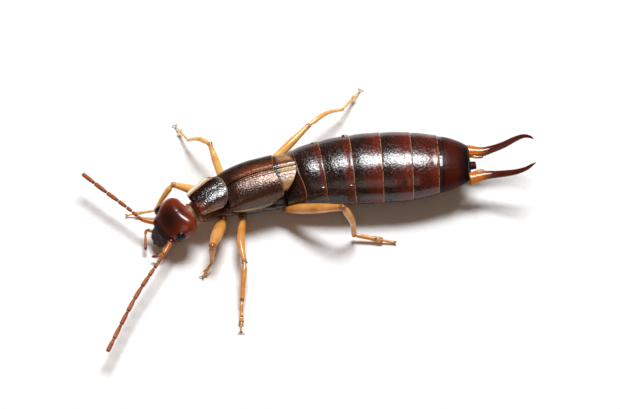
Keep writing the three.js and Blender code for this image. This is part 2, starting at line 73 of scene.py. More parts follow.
# The scent glands' folds: side and angle up the flank, radii, place before the ring's end, and how far
# they stand out, where the far one is given by the number of its ring
GLAND_ANGLES = ((-1, 38), (1, 42))
GLAND_RADII = (0.13, 0.075, 0.035)
GLAND_BACK = 0.16
GLAND_NEAR_OUT = -0.01
GLAND_FAR_OUT = {2: -0.03, 3: 0.03}

HEAD_AT = (-5.79, 0.108, 1.15)
HEAD_YAW = 202.2
HEAD_PITCH = 30.4
HEAD_KEYS = "x half top wide base"
HEAD = [
    (-0.86, 0.49, 0.24, 0.0, -0.34), (-0.74, 0.73, 0.36, 0.0, -0.44), (-0.54, 0.86, 0.45, 0.0, -0.50),
    (-0.28, 1.00, 0.50, 0.0, -0.52), (0.02, 0.96, 0.50, 0.0, -0.52), (0.37, 0.76, 0.42, 0.0, -0.46),
    (0.62, 0.61, 0.28, -0.02, -0.38),
]
HEAD_LOBES = 0.23
MUZZLE = [
    (0.46, 0.60, 0.28, -0.03, -0.36), (0.66, 0.54, 0.20, -0.05, -0.34), (0.84, 0.48, 0.12, -0.08, -0.32),
    (1.02, 0.38, 0.02, -0.12, -0.30), (1.18, 0.22, -0.08, -0.16, -0.26),
]
EYE = {"x": 0.06, "side": 0.82, "z": 0.1, "long": 0.25, "thick": 0.18, "high": 0.24}

# Feelers: each one's scape, then the line of its whip and the lengths of its joints
ANTENNAE = {
    "left": {
        "scape": [(-5.97, -0.64, 1.0), (-6.44, -1.30, 1.0)],
        "whip": [(-6.44, -1.30, 1.0), (-6.90, -1.86, 1.0), (-7.97, -3.23, 1.0), (-9.55, -5.66, 1.0)],
        "joints": [4.0, 5.5, 5.5, 8.6, 11.5, 13.0, 13.0, 13.4, 14.1, 12.8],
    },
    "right": {
        "scape": [(-6.38, 0.35, 1.0), (-7.02, 0.68, 1.0)],
        "whip": [(-7.02, 0.68, 1.0), (-7.50, 1.40, 1.05), (-8.18, 2.30, 1.1), (-9.01, 3.46, 1.15)],
        "joints": [4.3, 6.8, 6.6, 9.5, 13.1, 14.4, 14.7],
    },
}
PALPS = {
    "left": [(-6.22, -0.42, 0.66), (-6.46, -0.84, 0.42), (-6.89, -0.80, 0.30)],
    "right": [(-6.60, 0.20, 0.66), (-6.87, 0.36, 0.62), (-6.99, 0.00, 0.42), (-7.06, -0.45, 0.33)],
}

# Each joint's share of a palp and its thickness
PALP_JOINTS = [(0.20, 0.075), (0.22, 0.068), (0.28, 0.06), (0.30, 0.062)]

PRONOTUM = {
    "front": -4.86, "rear": -3.34, "corner_back": 0.36, "corner_front": 0.06, "shift": 0.15,
    "half_front": 0.68, "half_rear": 0.92, "top": 1.95, "front_dip": 0.34, "rim": 1.62, "cant": 0.035,
}
WING_KEYS = "x half top edge"
TEGMEN = [
    (-3.8, 0.86, 1.70, 1.42), (-3.4, 0.96, 1.84, 1.30), (-3.0, 1.04, 2.02, 1.20), (-2.2, 1.10, 2.13, 1.14),
    (-1.5, 1.08, 2.14, 1.22), (-0.9, 1.07, 2.14, 1.30),
]
WING_TIP = [(-1.3, 1.02, 2.10, 1.32), (-0.8, 1.02, 2.14, 1.32), (0.0, 1.0, 2.18, 1.32)]
WING_TIP_REACH = 0.62
SUTURE = 0.02
# The wing covers lie like a low roof: flat from the suture out, with a round shoulder
WING_POWER = 3.6
WING_PITCH = 0.12

LEGS = {
    "left_fore": [(-3.70, 0.05, 0.82), (-4.45, -1.55, 1.30), (-4.53, -1.74, 0.43), (-5.00, -2.09, 0.1)],
    "left_middle": [(-2.84, 0.02, 0.81), (-3.24, -2.28, 0.83), (-3.67, -3.86, 0.42), (-3.98, -5.20, 0.1)],
    "left_hind": [(-1.00, 0.14, 0.76), (1.12, -1.34, 2.19), (1.57, -1.45, 0.34), (3.21, -2.01, 0.1)],
    "right_fore": [(-3.85, 1.50, 0.78), (-5.46, 1.87, 1.47), (-6.30, 1.49, 0.40), (-7.49, 1.73, 0.1)],
    "right_middle": [(-3.27, 2.04, 0.78), (-3.53, 3.70, 1.47), (-4.27, 4.84, 0.51), (-4.61, 6.10, 0.1)],
    "right_hind": [(-1.50, 2.38, 0.76), (0.79, 3.94, 1.31), (2.51, 5.06, 0.60), (3.59, 6.40, 0.1)],
}
# How far the femur bows forwards, and the tibia upwards and backwards, in the middle
LEG_BOW = {
    "left_fore": (0.0, 0.0, 0.0), "left_middle": (0.13, 0.0, 0.0), "left_hind": (0.0, 0.04, 0.13),
    "right_fore": (0.0, 0.08, 0.0), "right_middle": (0.0, 0.2, 0.0), "right_hind": (0.0, 0.26, 0.0),
}
# Half widths of the femur, of the tibia's two ends and of the tarsus
LEG_THICKNESS = {
    "left_fore": (0.25, 0.13, 0.085, 0.06), "left_middle": (0.17, 0.125, 0.1, 0.065),
    "left_hind": (0.235, 0.19, 0.125, 0.095), "right_fore": (0.21, 0.13, 0.09, 0.055),
    "right_middle": (0.165, 0.11, 0.08, 0.045), "right_hind": (0.19, 0.11, 0.075, 0.05),
}
COXA_ROOT = {"side": 0.42, "z": 0.62}
TOE_HEIGHT = 0.08
# Shares of the foot's length where its first and second joint end and its claws start
FOOT_JOINTS = (0.52, 0.66, 0.97)
FLOOR_GAP = 0.001

FORCEPS = {
    "left": [(6.89, -0.34, 1.38), (7.41, -0.33, 1.42), (7.87, -0.44, 1.50), (8.37, -0.60, 1.66),
             (8.71, -0.70, 1.80), (9.06, -0.74, 1.96), (9.31, -0.69, 2.07), (9.49, -0.65, 2.14)],
    "right": [(7.10, 1.07, 1.38), (7.59, 0.93, 1.42), (8.02, 0.92, 1.50), (8.51, 0.92, 1.66),
              (9.01, 0.98, 1.84), (9.36, 0.95, 1.98), (9.59, 0.78, 2.08), (9.70, 0.59, 2.14)],
}
FORCEPS_RADIUS = [
    (0.0, 0.32), (0.16, 0.24), (0.34, 0.18), (0.52, 0.155), (0.68, 0.13), (0.82, 0.1), (0.93, 0.065),
    (1.0, 0.02),
]
# The teeth of the inner edge: shares of the length where they start and from one to the next, and radii
TOOTH_FROM, TOOTH_STEP = 0.04, 0.042
TOOTH_RADII = (0.06, 0.06, 0.036)
PYGIDIUM = {"x": 6.9, "side": -0.1, "z": 1.4, "length": 0.28, "half": 0.2}

# Lamps: direction, size in metres, power and colour, each at the same distance
LAMP_DISTANCE = 0.6
LAMPS = {
    "key_light": ((0.191, 0.368, 1.0), (0.27, 0.20), 4.2, (0.955, 0.985, 1.0)),
    "fill_light": ((-0.25, -0.8, 0.9), (0.3, 0.3), 0.25, (1.0, 0.86, 0.72)),
}
WORLD_COLOUR = (0.12, 0.075, 0.048, 1)
FLOOR_REACH = 1.5


# Curves and sections

def hermite(knots, values, x):
    """A smooth curve through values (one row for each knot), read at x."""
    knots, values, x = (np.asarray(a, float) for a in (knots, values, x))
    slopes = np.empty_like(values)
    slopes[1:-1] = ((values[2:] - values[:-2]).T / (knots[2:] - knots[:-2])).T
    slopes[0] = (values[1] - values[0]) / (knots[1] - knots[0])
    slopes[-1] = (values[-1] - values[-2]) / (knots[-1] - knots[-2])
    i = np.clip(np.searchsorted(knots, x) - 1, 0, len(knots) - 2)
    width = knots[i + 1] - knots[i]
    t = np.clip((x - knots[i]) / width, 0, 1)
    if values.ndim > 1:
        width, t = width[..., None], t[..., None]
    t2, t3 = t * t, t * t * t
    return (values[i] * (2 * t3 - 3 * t2 + 1) + slopes[i] * width * (t3 - 2 * t2 + t)
            + values[i + 1] * (3 * t2 - 2 * t3) + slopes[i + 1] * width * (t3 - t2))


def measure(keys, rows, x, key):
    column = keys.split().index(key)
    return hermite([r[0] for r in rows], [r[column] for r in rows], x)


def trunk(x, key):
    return measure(TRUNK_KEYS, TRUNK, x, key)


def stacked(*parts):
    """Points, or other rows, of coordinates that are given one by one."""
    return np.stack(np.broadcast_arrays(*parts), -1)


def beside(x, side, z):
    """The place of a point given beside the trunk's midline."""
    x = np.asarray(x, float)
    slope = (trunk(x + 0.05, "y") - trunk(x - 0.05, "y")) / 0.1
    lean = np.hypot(1, slope)
    return stacked(x - side * slope / lean, trunk(x, "y") + side / lean, z)


def smooth(low, high, x):
    """0 below low, 1 above high and a soft step between them; low may be the higher one."""
    t = np.clip((np.asarray(x, float) - low) / (high - low), 0, 1)
    return t * t * (3 - 2 * t)


def hump(centre, width, x):
    """A bell of height 1."""
    return np.exp(-((np.asarray(x, float) - centre) / width) ** 2)


def squared(angle, power):
    """A point of a superellipse of half width 1: angle 0 is the right side and a quarter turn is the top."""
    c, s = np.cos(angle), np.sin(angle)
    scale = 1 / (np.abs(c) ** power + np.abs(s) ** power) ** (1 / power)
    return c * scale, s * scale


def around(count):
    return np.arange(count) / count * 2 * math.pi


def even(thickness):
    """The radius of a limb that is as thick all along."""
    return lambda t: thickness + 0 * t


def sideways(along):
    """The level direction at right angles to the one given."""
    side = np.cross(along, UP)
    return side / np.linalg.norm(side, axis=-1, keepdims=True)


def halfway(a, b):
    return (np.array(a) + b) / 2


class Path:
    """A smooth line through points, read by the length along it."""

    def __init__(self, points):
        self.points = np.array(points, float)
        steps = np.linalg.norm(np.diff(self.points, axis=0), axis=1)
        self.knots = np.concatenate([[0], np.cumsum(steps)])
        self.length = self.knots[-1]

    def at(self, s):
        s = np.asarray(s, float)
        inside = np.clip(s, 0, self.length)
        ends = hermite(self.knots, self.points, inside)
        return ends + self.along(inside) * (s - inside)[..., None]

    def along(self, s):
        s = np.clip(s, 1e-3, self.length - 1e-3)
        step = hermite(self.knots, self.points, s + 1e-3) - hermite(self.knots, self.points, s - 1e-3)
        return step / np.linalg.norm(step, axis=-1, keepdims=True)


# Meshes

def put(points):
    return (np.asarray(points, float) + SHIFT) * MM


class Shape:
    """The points and faces of one piece, gathered part by part. lie holds two numbers for each point."""

    def __init__(self):
        self.points, self.lie, self.faces, self.slots = [], [], [], []
        self.count = 0

    def add(self, points, lie, faces, slot):
        base = self.count
        self.points.append(np.asarray(points, float).reshape(-1, 3))
        self.lie.append(np.asarray(lie, float).reshape(-1, 2))
        self.faces += [tuple(base + i for i in face) for face in faces]
        self.slots += [slot] * len(faces)
        self.count += len(self.points[-1])

    def tube(self, rings, lie, slot=0):
        """A closed body of rings, each a closed loop of points, with a fan at either end."""
        rows, columns = rings.shape[:2]
        ends = [rings[0].mean(axis=0), rings[-1].mean(axis=0)]
        first, last = rows * columns, rows * columns + 1
        faces = []
        for r in range(rows - 1):
            for c in range(columns):
                a, b = r * columns + c, r * columns + (c + 1) % columns
                faces.append((a, b, b + columns, a + columns))
        for c in range(columns):
            n = (c + 1) % columns
            faces.append((first, n, c))
            faces.append((last, (rows - 1) * columns + c, (rows - 1) * columns + n))
        lie = np.broadcast_to(lie, rings.shape[:2] + (2,)).reshape(-1, 2)
        lie = np.concatenate([lie, lie[:1], lie[-1:]])
        self.add(np.concatenate([rings.reshape(-1, 3), ends]), lie, faces, slot)

    def plate(self, outer, thickness, u, v, edge):
        """A closed plate under a sheet of points, which meets its underside at the rim."""
        inner = thickened(outer, thickness * np.sqrt(np.clip(edge, 0, 1)))
        lie = stacked(u, v)
        rows, columns = outer.shape[:2]
        top = np.arange(rows * columns).reshape(rows, columns)
        under = np.full((rows, columns), -1)
        rim = np.zeros((rows, columns), bool)
        rim[0], rim[-1], rim[:, 0], rim[:, -1] = True, True, True, True
        under[rim] = top[rim]
        under[~rim] = rows * columns + np.arange((~rim).sum())
        faces = []
        for r in range(rows - 1):
            for c in range(columns - 1):
                quad = [(r, c), (r, c + 1), (r + 1, c + 1), (r + 1, c)]
                faces.append(tuple(int(top[q]) for q in quad))
                faces.append(tuple(int(under[q]) for q in reversed(quad)))
        self.add(np.concatenate([outer.reshape(-1, 3), inner[~rim]]),
                 np.concatenate([lie.reshape(-1, 2), lie[~rim]]), faces, 0)

    def ball(self, centre, radii, turn=None, rows=16, columns=24, slot=0, lie=None):
        """An ellipsoid; turn is a rotation matrix for its three radii."""
        tilt = (np.arange(rows) + 0.5) / rows * math.pi
        angle = around(columns)
        wide = np.sin(tilt)[:, None]
        unit = stacked(-np.cos(tilt)[:, None], wide * np.cos(angle), wide * np.sin(angle))
        local = unit * radii
        if turn is not None:
            local = local @ np.asarray(turn).T
        if lie is None:
            lie = (unit[..., [0, 2]] + 1) / 2
        self.tube(local + centre, lie, slot)

    def piece(self, name, slot, nodes, materials, transform=None):
        """The finished Blender object: it stands for its CAD nodes, and each face takes its finish from its
        own slot; the argument slot is not used.
        """
        points = np.concatenate(self.points)
        if transform is not None:
            points = transform(points)
        mesh = bpy.data.meshes.new(name)
        mesh.from_pydata(put(points).tolist(), [], self.faces)
        for material in materials:
            mesh.materials.append(material)
        mesh.polygons.foreach_set("material_index", self.slots)
        mesh.polygons.foreach_set("use_smooth", [True] * len(self.faces))
        corners = np.zeros(len(mesh.loops), int)
        mesh.loops.foreach_get("vertex_index", corners)
        layer = mesh.uv_layers.new(name="Lie")
        layer.data.foreach_set("uv", np.concatenate(self.lie)[corners].ravel())
        mesh.update()
        mesh.validate()
        out_of_face(mesh)
        piece = placed(name, mesh)
        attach(piece, "root")
        if nodes:
            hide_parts(*nodes)


def placed(name, data):
    """A new object of the scene that holds the data."""
    thing = bpy.data.objects.new(name, data)
    bpy.context.scene.collection.objects.link(thing)
    return thing


def out_of_face(mesh):
    """Turns the mesh inside out where its faces look inwards."""
    points = np.zeros(len(mesh.vertices) * 3)
    mesh.vertices.foreach_get("co", points)
    points = points.reshape(-1, 3)
    volume = 0.0
    for face in mesh.polygons:
        corner = points[list(face.vertices)]
        for k in range(1, len(corner) - 1):
            volume += np.dot(corner[0], np.cross(corner[k], corner[k + 1]))
    if volume < 0:
        mesh.flip_normals()


def sheet(rows, columns, rim_u, rim_v):
    """A grid of u and v from 0 to 1, and how far each point is from the edge in widths of the rim."""
    u, v = np.meshgrid(np.linspace(0, 1, rows), np.linspace(0, 1, columns), indexing="ij")
    return u, v, np.minimum(np.minimum(u, 1 - u) / rim_u, np.minimum(v, 1 - v) / rim_v)


def thickened(outer, thickness):
    """The underside of a sheet of points, thickness below it and meeting it at the rim."""
    across, along = np.gradient(outer, axis=1), np.gradient(outer, axis=0)
    normal = np.cross(across, along)
    normal /= np.linalg.norm(normal, axis=-1, keepdims=True) + 1e-12
    if normal[..., 2].mean() < 0:
        normal = -normal
    return outer - normal * np.asarray(thickness)[..., None]


def limb(shape, path, start, stop, radius, rows=20, sides=20, domes=(1, 1), flat=1.0, slot=0, lie=(0, 1)):
    """A round body along part of a path, thick as radius(t), with a dome at either end."""
    tilt = np.linspace(0.12, 1, 5)[:-1] * math.pi / 2
    t = np.linspace(0, 1, rows)
    radii = radius(t)
    length = stop - start
    s = np.concatenate([start - domes[0] * radii[0] * np.cos(tilt), start + t * length,
                        stop + domes[1] * radii[-1] * np.cos(tilt[::-1])])
    radii = np.concatenate([radii[0] * np.sin(tilt), radii, radii[-1] * np.sin(tilt[::-1])])
    centre, along = path.at(s), path.along(s)
    side = sideways(along)
    out = np.cross(side, along)
    angle = around(sides)
    rings = (centre[:, None] + radii[:, None, None]
             * (np.cos(angle)[:, None] * side[:, None] + flat * np.sin(angle)[:, None] * out[:, None]))
    spans = lie[0] + np.clip((s - start) / length, 0, 1)[:, None] * (lie[1] - lie[0])
    shape.tube(rings, stacked(spans, (np.sin(angle) + 1) / 2), slot)


def loft(shape, x, keys, rows, power, sides, place, swell=0.0, lie_along=None, shape_up=None):
    """A body through stations: x for each row, and swell in millimetres over the whole grid."""
    angle = around(sides)
    a, b = squared(angle, power)
    x2 = np.broadcast_to(x[:, None], (len(x), sides))
    wide = measure(keys, rows, x2, "wide")
    reach = np.where(b > 0, measure(keys, rows, x2, "top") - wide, wide - measure(keys, rows, x2, "base"))
    half = measure(keys, rows, x2, "half")
    grow = np.broadcast_to(swell, x2.shape)
    side, height = a * (half + grow), wide + b * (reach + grow)
    if shape_up is not None:
        height = height + shape_up(x2, side, b)
    along = np.linspace(0, 1, len(x)) if lie_along is None else lie_along
    shape.tube(place(x2, side, height), stacked(along[:, None], (b + 1) / 2))


# Materials

# Waves and cells for each millimetre: the plates' grain, their pits and the dull spots between the glints
GRAIN_SCALE, PIT_SCALE, SPECKLE_SCALE = 12.0, 9.0, 13.0


class Shader:
    """One procedural material. Its methods take and give node sockets; lengths are in millimetres."""

    def __init__(self, name):
        self.material = bpy.data.materials.new(name)
        self.material.use_nodes = True
        tree = self.material.node_tree
        self.nodes, self.links = tree.nodes, tree.links
        self.skin = self.nodes["Principled BSDF"]
        coordinates = self.add("ShaderNodeTexCoord").outputs["Object"]
        scaled = self.add("ShaderNodeVectorMath", {0: coordinates}, operation="SCALE")
        scaled.inputs["Scale"].default_value = 1 / MM
        self.place = scaled.outputs["Vector"]
        lie = self.add("ShaderNodeUVMap", uv_map="Lie").outputs["UV"]
        split = self.add("ShaderNodeSeparateXYZ", {0: lie})
        self.along, self.height = split.outputs["X"], split.outputs["Y"]

    def add(self, kind, inputs=(), **settings):
        node = self.nodes.new(kind)
        for key, value in settings.items():
            setattr(node, key, value)
        self.fill(node, dict(inputs))
        return node

    def fill(self, node, inputs):
        for key, value in inputs.items():
            if isinstance(value, bpy.types.NodeSocket):
                self.links.new(value, node.inputs[key])
            else:
                node.inputs[key].default_value = value

    def stretched(self, stretch):
        return self.add("ShaderNodeMapping", {"Vector": self.place, "Scale": stretch}).outputs["Vector"]

    def noise(self, scale, detail=3.0, rough=0.55, stretch=None):
        where = self.place if stretch is None else self.stretched(stretch)
        inputs = {"Vector": where, "Scale": scale, "Detail": detail, "Roughness": rough}
        return self.add("ShaderNodeTexNoise", inputs).outputs["Fac"]

    def cells(self, scale):
        return self.add("ShaderNodeTexVoronoi", {"Vector": self.place, "Scale": scale}).outputs["Distance"]

    def calc(self, operation, a, b=0.0):
        return self.add("ShaderNodeMath", {0: a, 1: b}, operation=operation).outputs[0]

    def times(self, a, b):
        return self.calc("MULTIPLY", a, b)

    def stirred(self, value, cloud, reach):
        """value shifted up and down by a cloud, so that a border wanders."""
        return self.calc("ADD", value, self.times(self.calc("SUBTRACT", cloud, 0.5), reach))

    def span(self, value, low, high, to_low=0.0, to_high=1.0):
        """value from low to high, as a soft step from to_low to to_high."""
        inputs = {"Value": value, "From Min": low, "From Max": high, "To Min": to_low, "To Max": to_high}
        return self.add("ShaderNodeMapRange", inputs, interpolation_type="SMOOTHSTEP").outputs["Result"]

    def mix(self, factor, a, b):
        node = self.add("ShaderNodeMix", {0: factor, 6: rgba(a), 7: rgba(b)}, data_type="RGBA")
        return node.outputs[2]

    def paint(self, colour, factor):
        """Lays a colour over the one so far, as much as factor says."""
        self.colour = self.mix(factor, self.colour, colour)

    def grain(self, scale=GRAIN_SCALE):
        return self.noise(scale, 1.0, 0.5)

    def pitted(self, low, high, share):
        """The grain of a plate with small pits in it."""
        pits = self.span(self.cells(PIT_SCALE), low, high)
        return self.calc("ADD", self.grain(), self.times(pits, share))

    def speckle(self, clear, dull, share=0.5):
        """A roughness that is dull in tiny spots, which take about the given share of the surface."""
        level = 0.62 - 0.24 * share
        spots = self.span(self.grain(SPECKLE_SCALE), level - 0.03, level + 0.03)
        return self.span(spots, 0, 1, clear, dull)

    def bump(self, height, depth, under=None):
        inputs = {"Height": height, "Distance": depth * MM, "Strength": 1.0}
        if under is not None:
            inputs["Normal"] = under
        return self.add("ShaderNodeBump", inputs).outputs["Normal"]

    def finish(self, roughness, normal, **values):
        """Joins the sockets to the surface; values are further inputs of the surface by name."""
        inputs = {"Base Color": self.colour, "Roughness": roughness, "Normal": normal}
        inputs.update({key.replace("_", " "): value for key, value in values.items()})
        self.fill(self.skin, inputs)
        return self.material


def rgba(colour):
    """A colour written as #rrggbb, for the shaders' linear sockets; a socket passes through."""
    if not isinstance(colour, str):
        return colour
    parts = [int(colour[i:i + 2], 16) / 255 for i in (1, 3, 5)]
    return (*[p / 12.92 if p <= 0.04045 else ((p + 0.055) / 1.055) ** 2.4 for p in parts], 1.0)


def tergite_material(name, redness, red_from, polish):
    """A ring's plate: blackish in front, redder behind, a cream hind line and a fine grain."""
    s = Shader(name)
    cloud = s.noise(1.6, 3.0)
    along = s.stirred(s.along, cloud, 0.5)
    red = s.mix(s.span(along, 0.60, 0.90), "#4a150c", "#662010")
    amount = s.times(s.span(along, red_from, red_from + 0.28), redness)
    s.colour = s.mix(amount, "#220d0a", red)
    blot = s.span(s.noise(1.5, 2.0, stretch=(1.0, 1.4, 1.4)), 0.56, 0.68)
    s.paint("#1f0c09", s.times(blot, 0.5))
    # The lower flank is painted lighter and purplish: partly its own tone, partly a painted reflection of the
    # floor
    flank = s.span(s.height, 0.44, 0.24)
    s.paint("#351915", s.times(flank, 0.5))
    corner = s.times(s.span(s.height, 0.50, 0.34), s.span(along, 0.66, 0.92))
    s.paint("#7d4a2a", s.times(corner, 0.75 - 0.5 * polish))
    below = s.span(s.height, 0.26, 0.12)
    s.paint("#5a2f1c", s.times(below, 0.8))
    line = s.times(s.span(s.along, 0.974, 0.984), s.span(s.noise(7.0, 2.0), 0.36, 0.50))
    s.paint("#ab8a60", s.times(line, 0.8))
    # Painted shade: the hind fold, where the ring steps down over the next one, is painted nearly black
    s.paint("#1a0b09", s.span(s.along, 1.0, 1.04))
    fade = s.span(s.along, 0.98, 0.45, 0.35, 1.0)
    height = s.pitted(0.06, 0.30, 0.5)
    swell = s.bump(s.noise(2.2, 1.0), 0.008)
    normal = s.bump(s.times(height, fade), 0.015 - 0.008 * polish, swell)
    return s.finish(s.speckle(0.16, 0.32, 0.5 - 0.25 * polish), normal, Specular_IOR_Level=0.7)


def last_ring_material():
    s = Shader("last_ring")
    cloud = s.noise(1.4, 3.0)
    along = s.stirred(s.along, cloud, 0.3)
    s.colour = s.mix(s.span(along, 0.05, 0.3), "#2c100c", "#45160d")
    line = s.span(s.calc("ABSOLUTE", s.calc("SUBTRACT", s.along, 0.17)), 0.03, 0.01)
    s.paint("#190a09", s.times(line, 0.8))
    s.paint("#2a100d", s.span(along, 0.42, 0.58))
    s.paint("#0f0909", s.span(s.along, 0.56, 0.64))
    # The lower flank is painted lighter: partly its own tone, partly a painted reflection of the floor
    flank = s.span(s.height, 0.34, 0.2)
    s.paint("#33201c", s.times(flank, 0.7))
    grain = s.noise(7.0, 3.0, 0.5)
    streak = s.noise(3.0, 2.0, 0.5, stretch=(0.6, 2.2, 2.2))
    height = s.calc("ADD", s.times(grain, 0.35), streak)
    shine = s.span(s.calc("ABSOLUTE", s.calc("SUBTRACT", s.along, 0.125)), 0.05, 0.0)
    shine = s.times(shine, s.span(s.height, 0.6, 0.85))
    roughness = s.span(shine, 0, 1, 0.34, 0.12)
    return s.finish(roughness, s.bump(height, 0.014), Specular_IOR_Level=s.span(shine, 0, 1, 0.12, 0.9))


def head_material():
    """Mahogany, darkest in the middle of the brow and at the mouth, redder round the rims."""
    s = Shader("head_mahogany")
    x = s.times(s.calc("SUBTRACT", s.along, 0.62), 1.35)
    y = s.times(s.calc("SUBTRACT", s.height, 0.5), 1.6)
    distance = s.calc("SQRT", s.calc("ADD", s.times(x, x), s.times(y, y)))
    distance = s.stirred(distance, s.noise(2.2, 2.0), 0.25)
    s.colour = s.mix(s.span(distance, 0.10, 0.55), "#240b08", "#54180b")
    s.paint("#7e2a11", s.span(distance, 0.42, 0.74))
    s.paint("#6a1f0e", s.span(distance, 0.86, 1.04))
    s.paint("#2b1413", s.span(s.along, 0.86, 0.97))
    grain = s.noise(26.0, 2.0, 0.5)
    normal = s.bump(s.calc("ADD", s.times(grain, 0.3), s.noise(2.5, 2.0)), 0.005)
    return s.finish(s.span(s.along, 0.82, 0.92, 0.23, 0.6), normal,
                    Specular_IOR_Level=s.span(s.along, 0.82, 0.92, 0.7, 0.1),
                    Subsurface_Weight=0.1, Subsurface_Scale=0.0002)


def muzzle_material():
    s = Shader("mouth_plates")
    bands = s.noise(7.0, 3.0, 0.6)
    s.colour = s.mix(s.span(bands, 0.35, 0.7), "#241113", "#3c2324")
    s.paint("#32120f", s.span(s.along, 0.36, 0.22))
    s.paint("#3c1f1c", s.span(s.along, 0.62, 0.95))
    # Painted shade: the groove between the clypeus and the upper lip is painted nearly black
    groove = s.span(s.calc("ABSOLUTE", s.calc("SUBTRACT", s.along, 0.37)), 0.045, 0.02)
    s.paint("#0a0606", groove)
    return s.finish(0.34, s.bump(bands, 0.016), Specular_IOR_Level=0.4)


def eye_material():
    """Grey-black facets in rows."""
    s = Shader("eye_facets")
    facets = s.cells(26.0)
    s.colour = s.mix(s.span(facets, 0.2, 0.6), "#09090a", "#161617")
    normal = s.bump(s.span(facets, 0.15, 0.7, 1.0, 0.0), 0.003)
    return s.finish(0.14, normal, Specular_IOR_Level=0.35)


def pronotum_material():
    """Blackish disc, wrinkled and shining, red in front, with pale see-through rims."""
    s = Shader("pronotum")
    cloud = s.noise(2.4, 4.0, 0.6)
    s.colour = s.mix(s.span(cloud, 0.35, 0.65), "#120909", "#241110")
    front = s.times(s.span(s.along, 0.40, 0.10), s.span(s.height, 0.52, 0.24))
    s.paint("#66240f", s.times(front, 0.9))
    across = s.stirred(s.height, s.noise(5.0, 2.0), 0.06)
    # The far rim is clear: straw, then painted whitish as light showing through it; the near one pinkish grey
    far = s.span(across, 0.78, 0.82)
    s.paint("#b98a58", far)
    s.paint("#e6dccd", s.span(across, 0.86, 0.91))
    near = s.span(across, 0.18, 0.10)
    rim = s.mix(s.span(s.along, 0.2, 0.6), "#66341f", "#6a5046")
    s.paint(rim, near)
    s.paint("#9c8068", s.span(across, 0.03, 0.015))
    hind = s.stirred(s.along, s.noise(6.0, 2.0), 0.05)
    s.paint("#4e3b33", s.span(hind, 0.82, 0.92))
    s.paint("#a88e74", s.span(hind, 0.965, 0.98))
    wrinkle = s.bump(s.noise(3.6, 3.0, 0.6, stretch=(1.3, 1.0, 1.0)), 0.017)
    height = s.pitted(0.06, 0.40, 0.5)
    shine = s.times(s.span(s.height, 0.72, 0.5), s.span(s.along, 0.05, 0.45, 0.35, 1.0))
    return s.finish(s.speckle(0.15, 0.28), s.bump(height, 0.013, wrinkle),
                    Specular_IOR_Level=s.span(shine, 0, 1, 0.2, 0.9))


def tegmen_material(name, near):
    """Dark brown with a coppery grain, warm beside the suture and pale along the side edge."""
    s = Shader(name)
    cloud = s.noise(1.8, 4.0, 0.6, stretch=(0.5, 1.2, 1.2))
    s.colour = s.mix(s.span(cloud, 0.34, 0.66), "#1c0e0c", "#3a1c12")
    warm = s.times(s.span(s.height, 0.34, 0.06), s.span(s.along, 0.15, 0.6))
    s.paint("#84401a", s.times(warm, 0.35 if near else 0.9))
    s.paint("#4a2614", s.span(s.height, 0.52, 0.60))
    s.paint("#25130f", s.span(s.height, 0.66, 0.74))
    s.paint("#6b4a34", s.span(s.height, 0.83, 0.87))
    s.paint("#b79c78", s.span(s.height, 0.89, 0.93))
    rear = s.times(s.span(s.height, 0.80, 0.86), s.span(s.along, 0.45, 0.75))
    s.paint("#463733", s.times(rear, 0.75))
    s.paint("#a88c66", s.span(s.height, 0.965, 0.98))
    s.paint("#2c1a12", s.span(s.along, 0.20, 0.08))
    s.paint("#6e4a30", s.span(s.along, 0.965, 0.988))
    return s.finish(s.speckle(0.2, 0.36), s.bump(s.pitted(0.08, 0.36, 0.4), 0.013),
                    Specular_IOR_Level=0.9 if near else 0.45, Specular_Tint=rgba("#ffdccb"))


def wing_tip_material(name, near):
    """Golden tan with a shining grain, dark in front and along the edges."""
    s = Shader(name)
    cloud = s.noise(3.0, 4.0, 0.6)
    if near:
        s.colour = s.mix(s.span(cloud, 0.3, 0.7), "#9a6e45", "#c2935a")
    else:
        s.colour = s.mix(s.span(cloud, 0.3, 0.7), "#8d6240", "#b8895a")
        s.paint("#6a3a1e", s.span(s.height, 0.42, 0.28))
        s.paint("#b98a58", s.span(s.height, 0.16, 0.08))
    front = s.stirred(s.along, cloud, 0.3)
    if near:
        s.paint("#3c2524", s.span(front, 0.36, 0.16))
    else:
        s.paint("#4a2718", s.span(front, 0.42, 0.22))
    s.paint("#5b3a26", s.span(s.height, 0.90, 0.97))
    s.paint("#3f271b", s.span(s.along, 0.94, 0.985))
    return s.finish(s.speckle(0.18, 0.36), s.bump(s.grain(), 0.012), Specular_IOR_Level=0.8)


def thorax_material(name, dark, light):
    """Glossy plates with brown skin between them."""
    s = Shader(name)
    cloud = s.noise(2.6, 3.0)
    s.colour = s.mix(s.span(cloud, 0.35, 0.7), dark, light)
    s.paint("#6b4630", s.span(s.height, 0.22, 0.08))
    normal = s.bump(s.calc("ADD", cloud, s.times(s.noise(12.0, 2.0), 0.2)), 0.02)
    return s.finish(0.22, normal, Coat_Weight=0.25, Coat_Roughness=0.1)


def neck_material():
    s = Shader("neck_skin")
    folds = s.noise(4.0, 3.0, 0.6, stretch=(2.4, 0.7, 0.7))
    s.colour = s.mix(s.span(folds, 0.35, 0.7), "#85543a", "#bd875f")
    return s.finish(0.42, s.bump(folds, 0.02), Subsurface_Weight=0.15, Subsurface_Scale=0.0002)


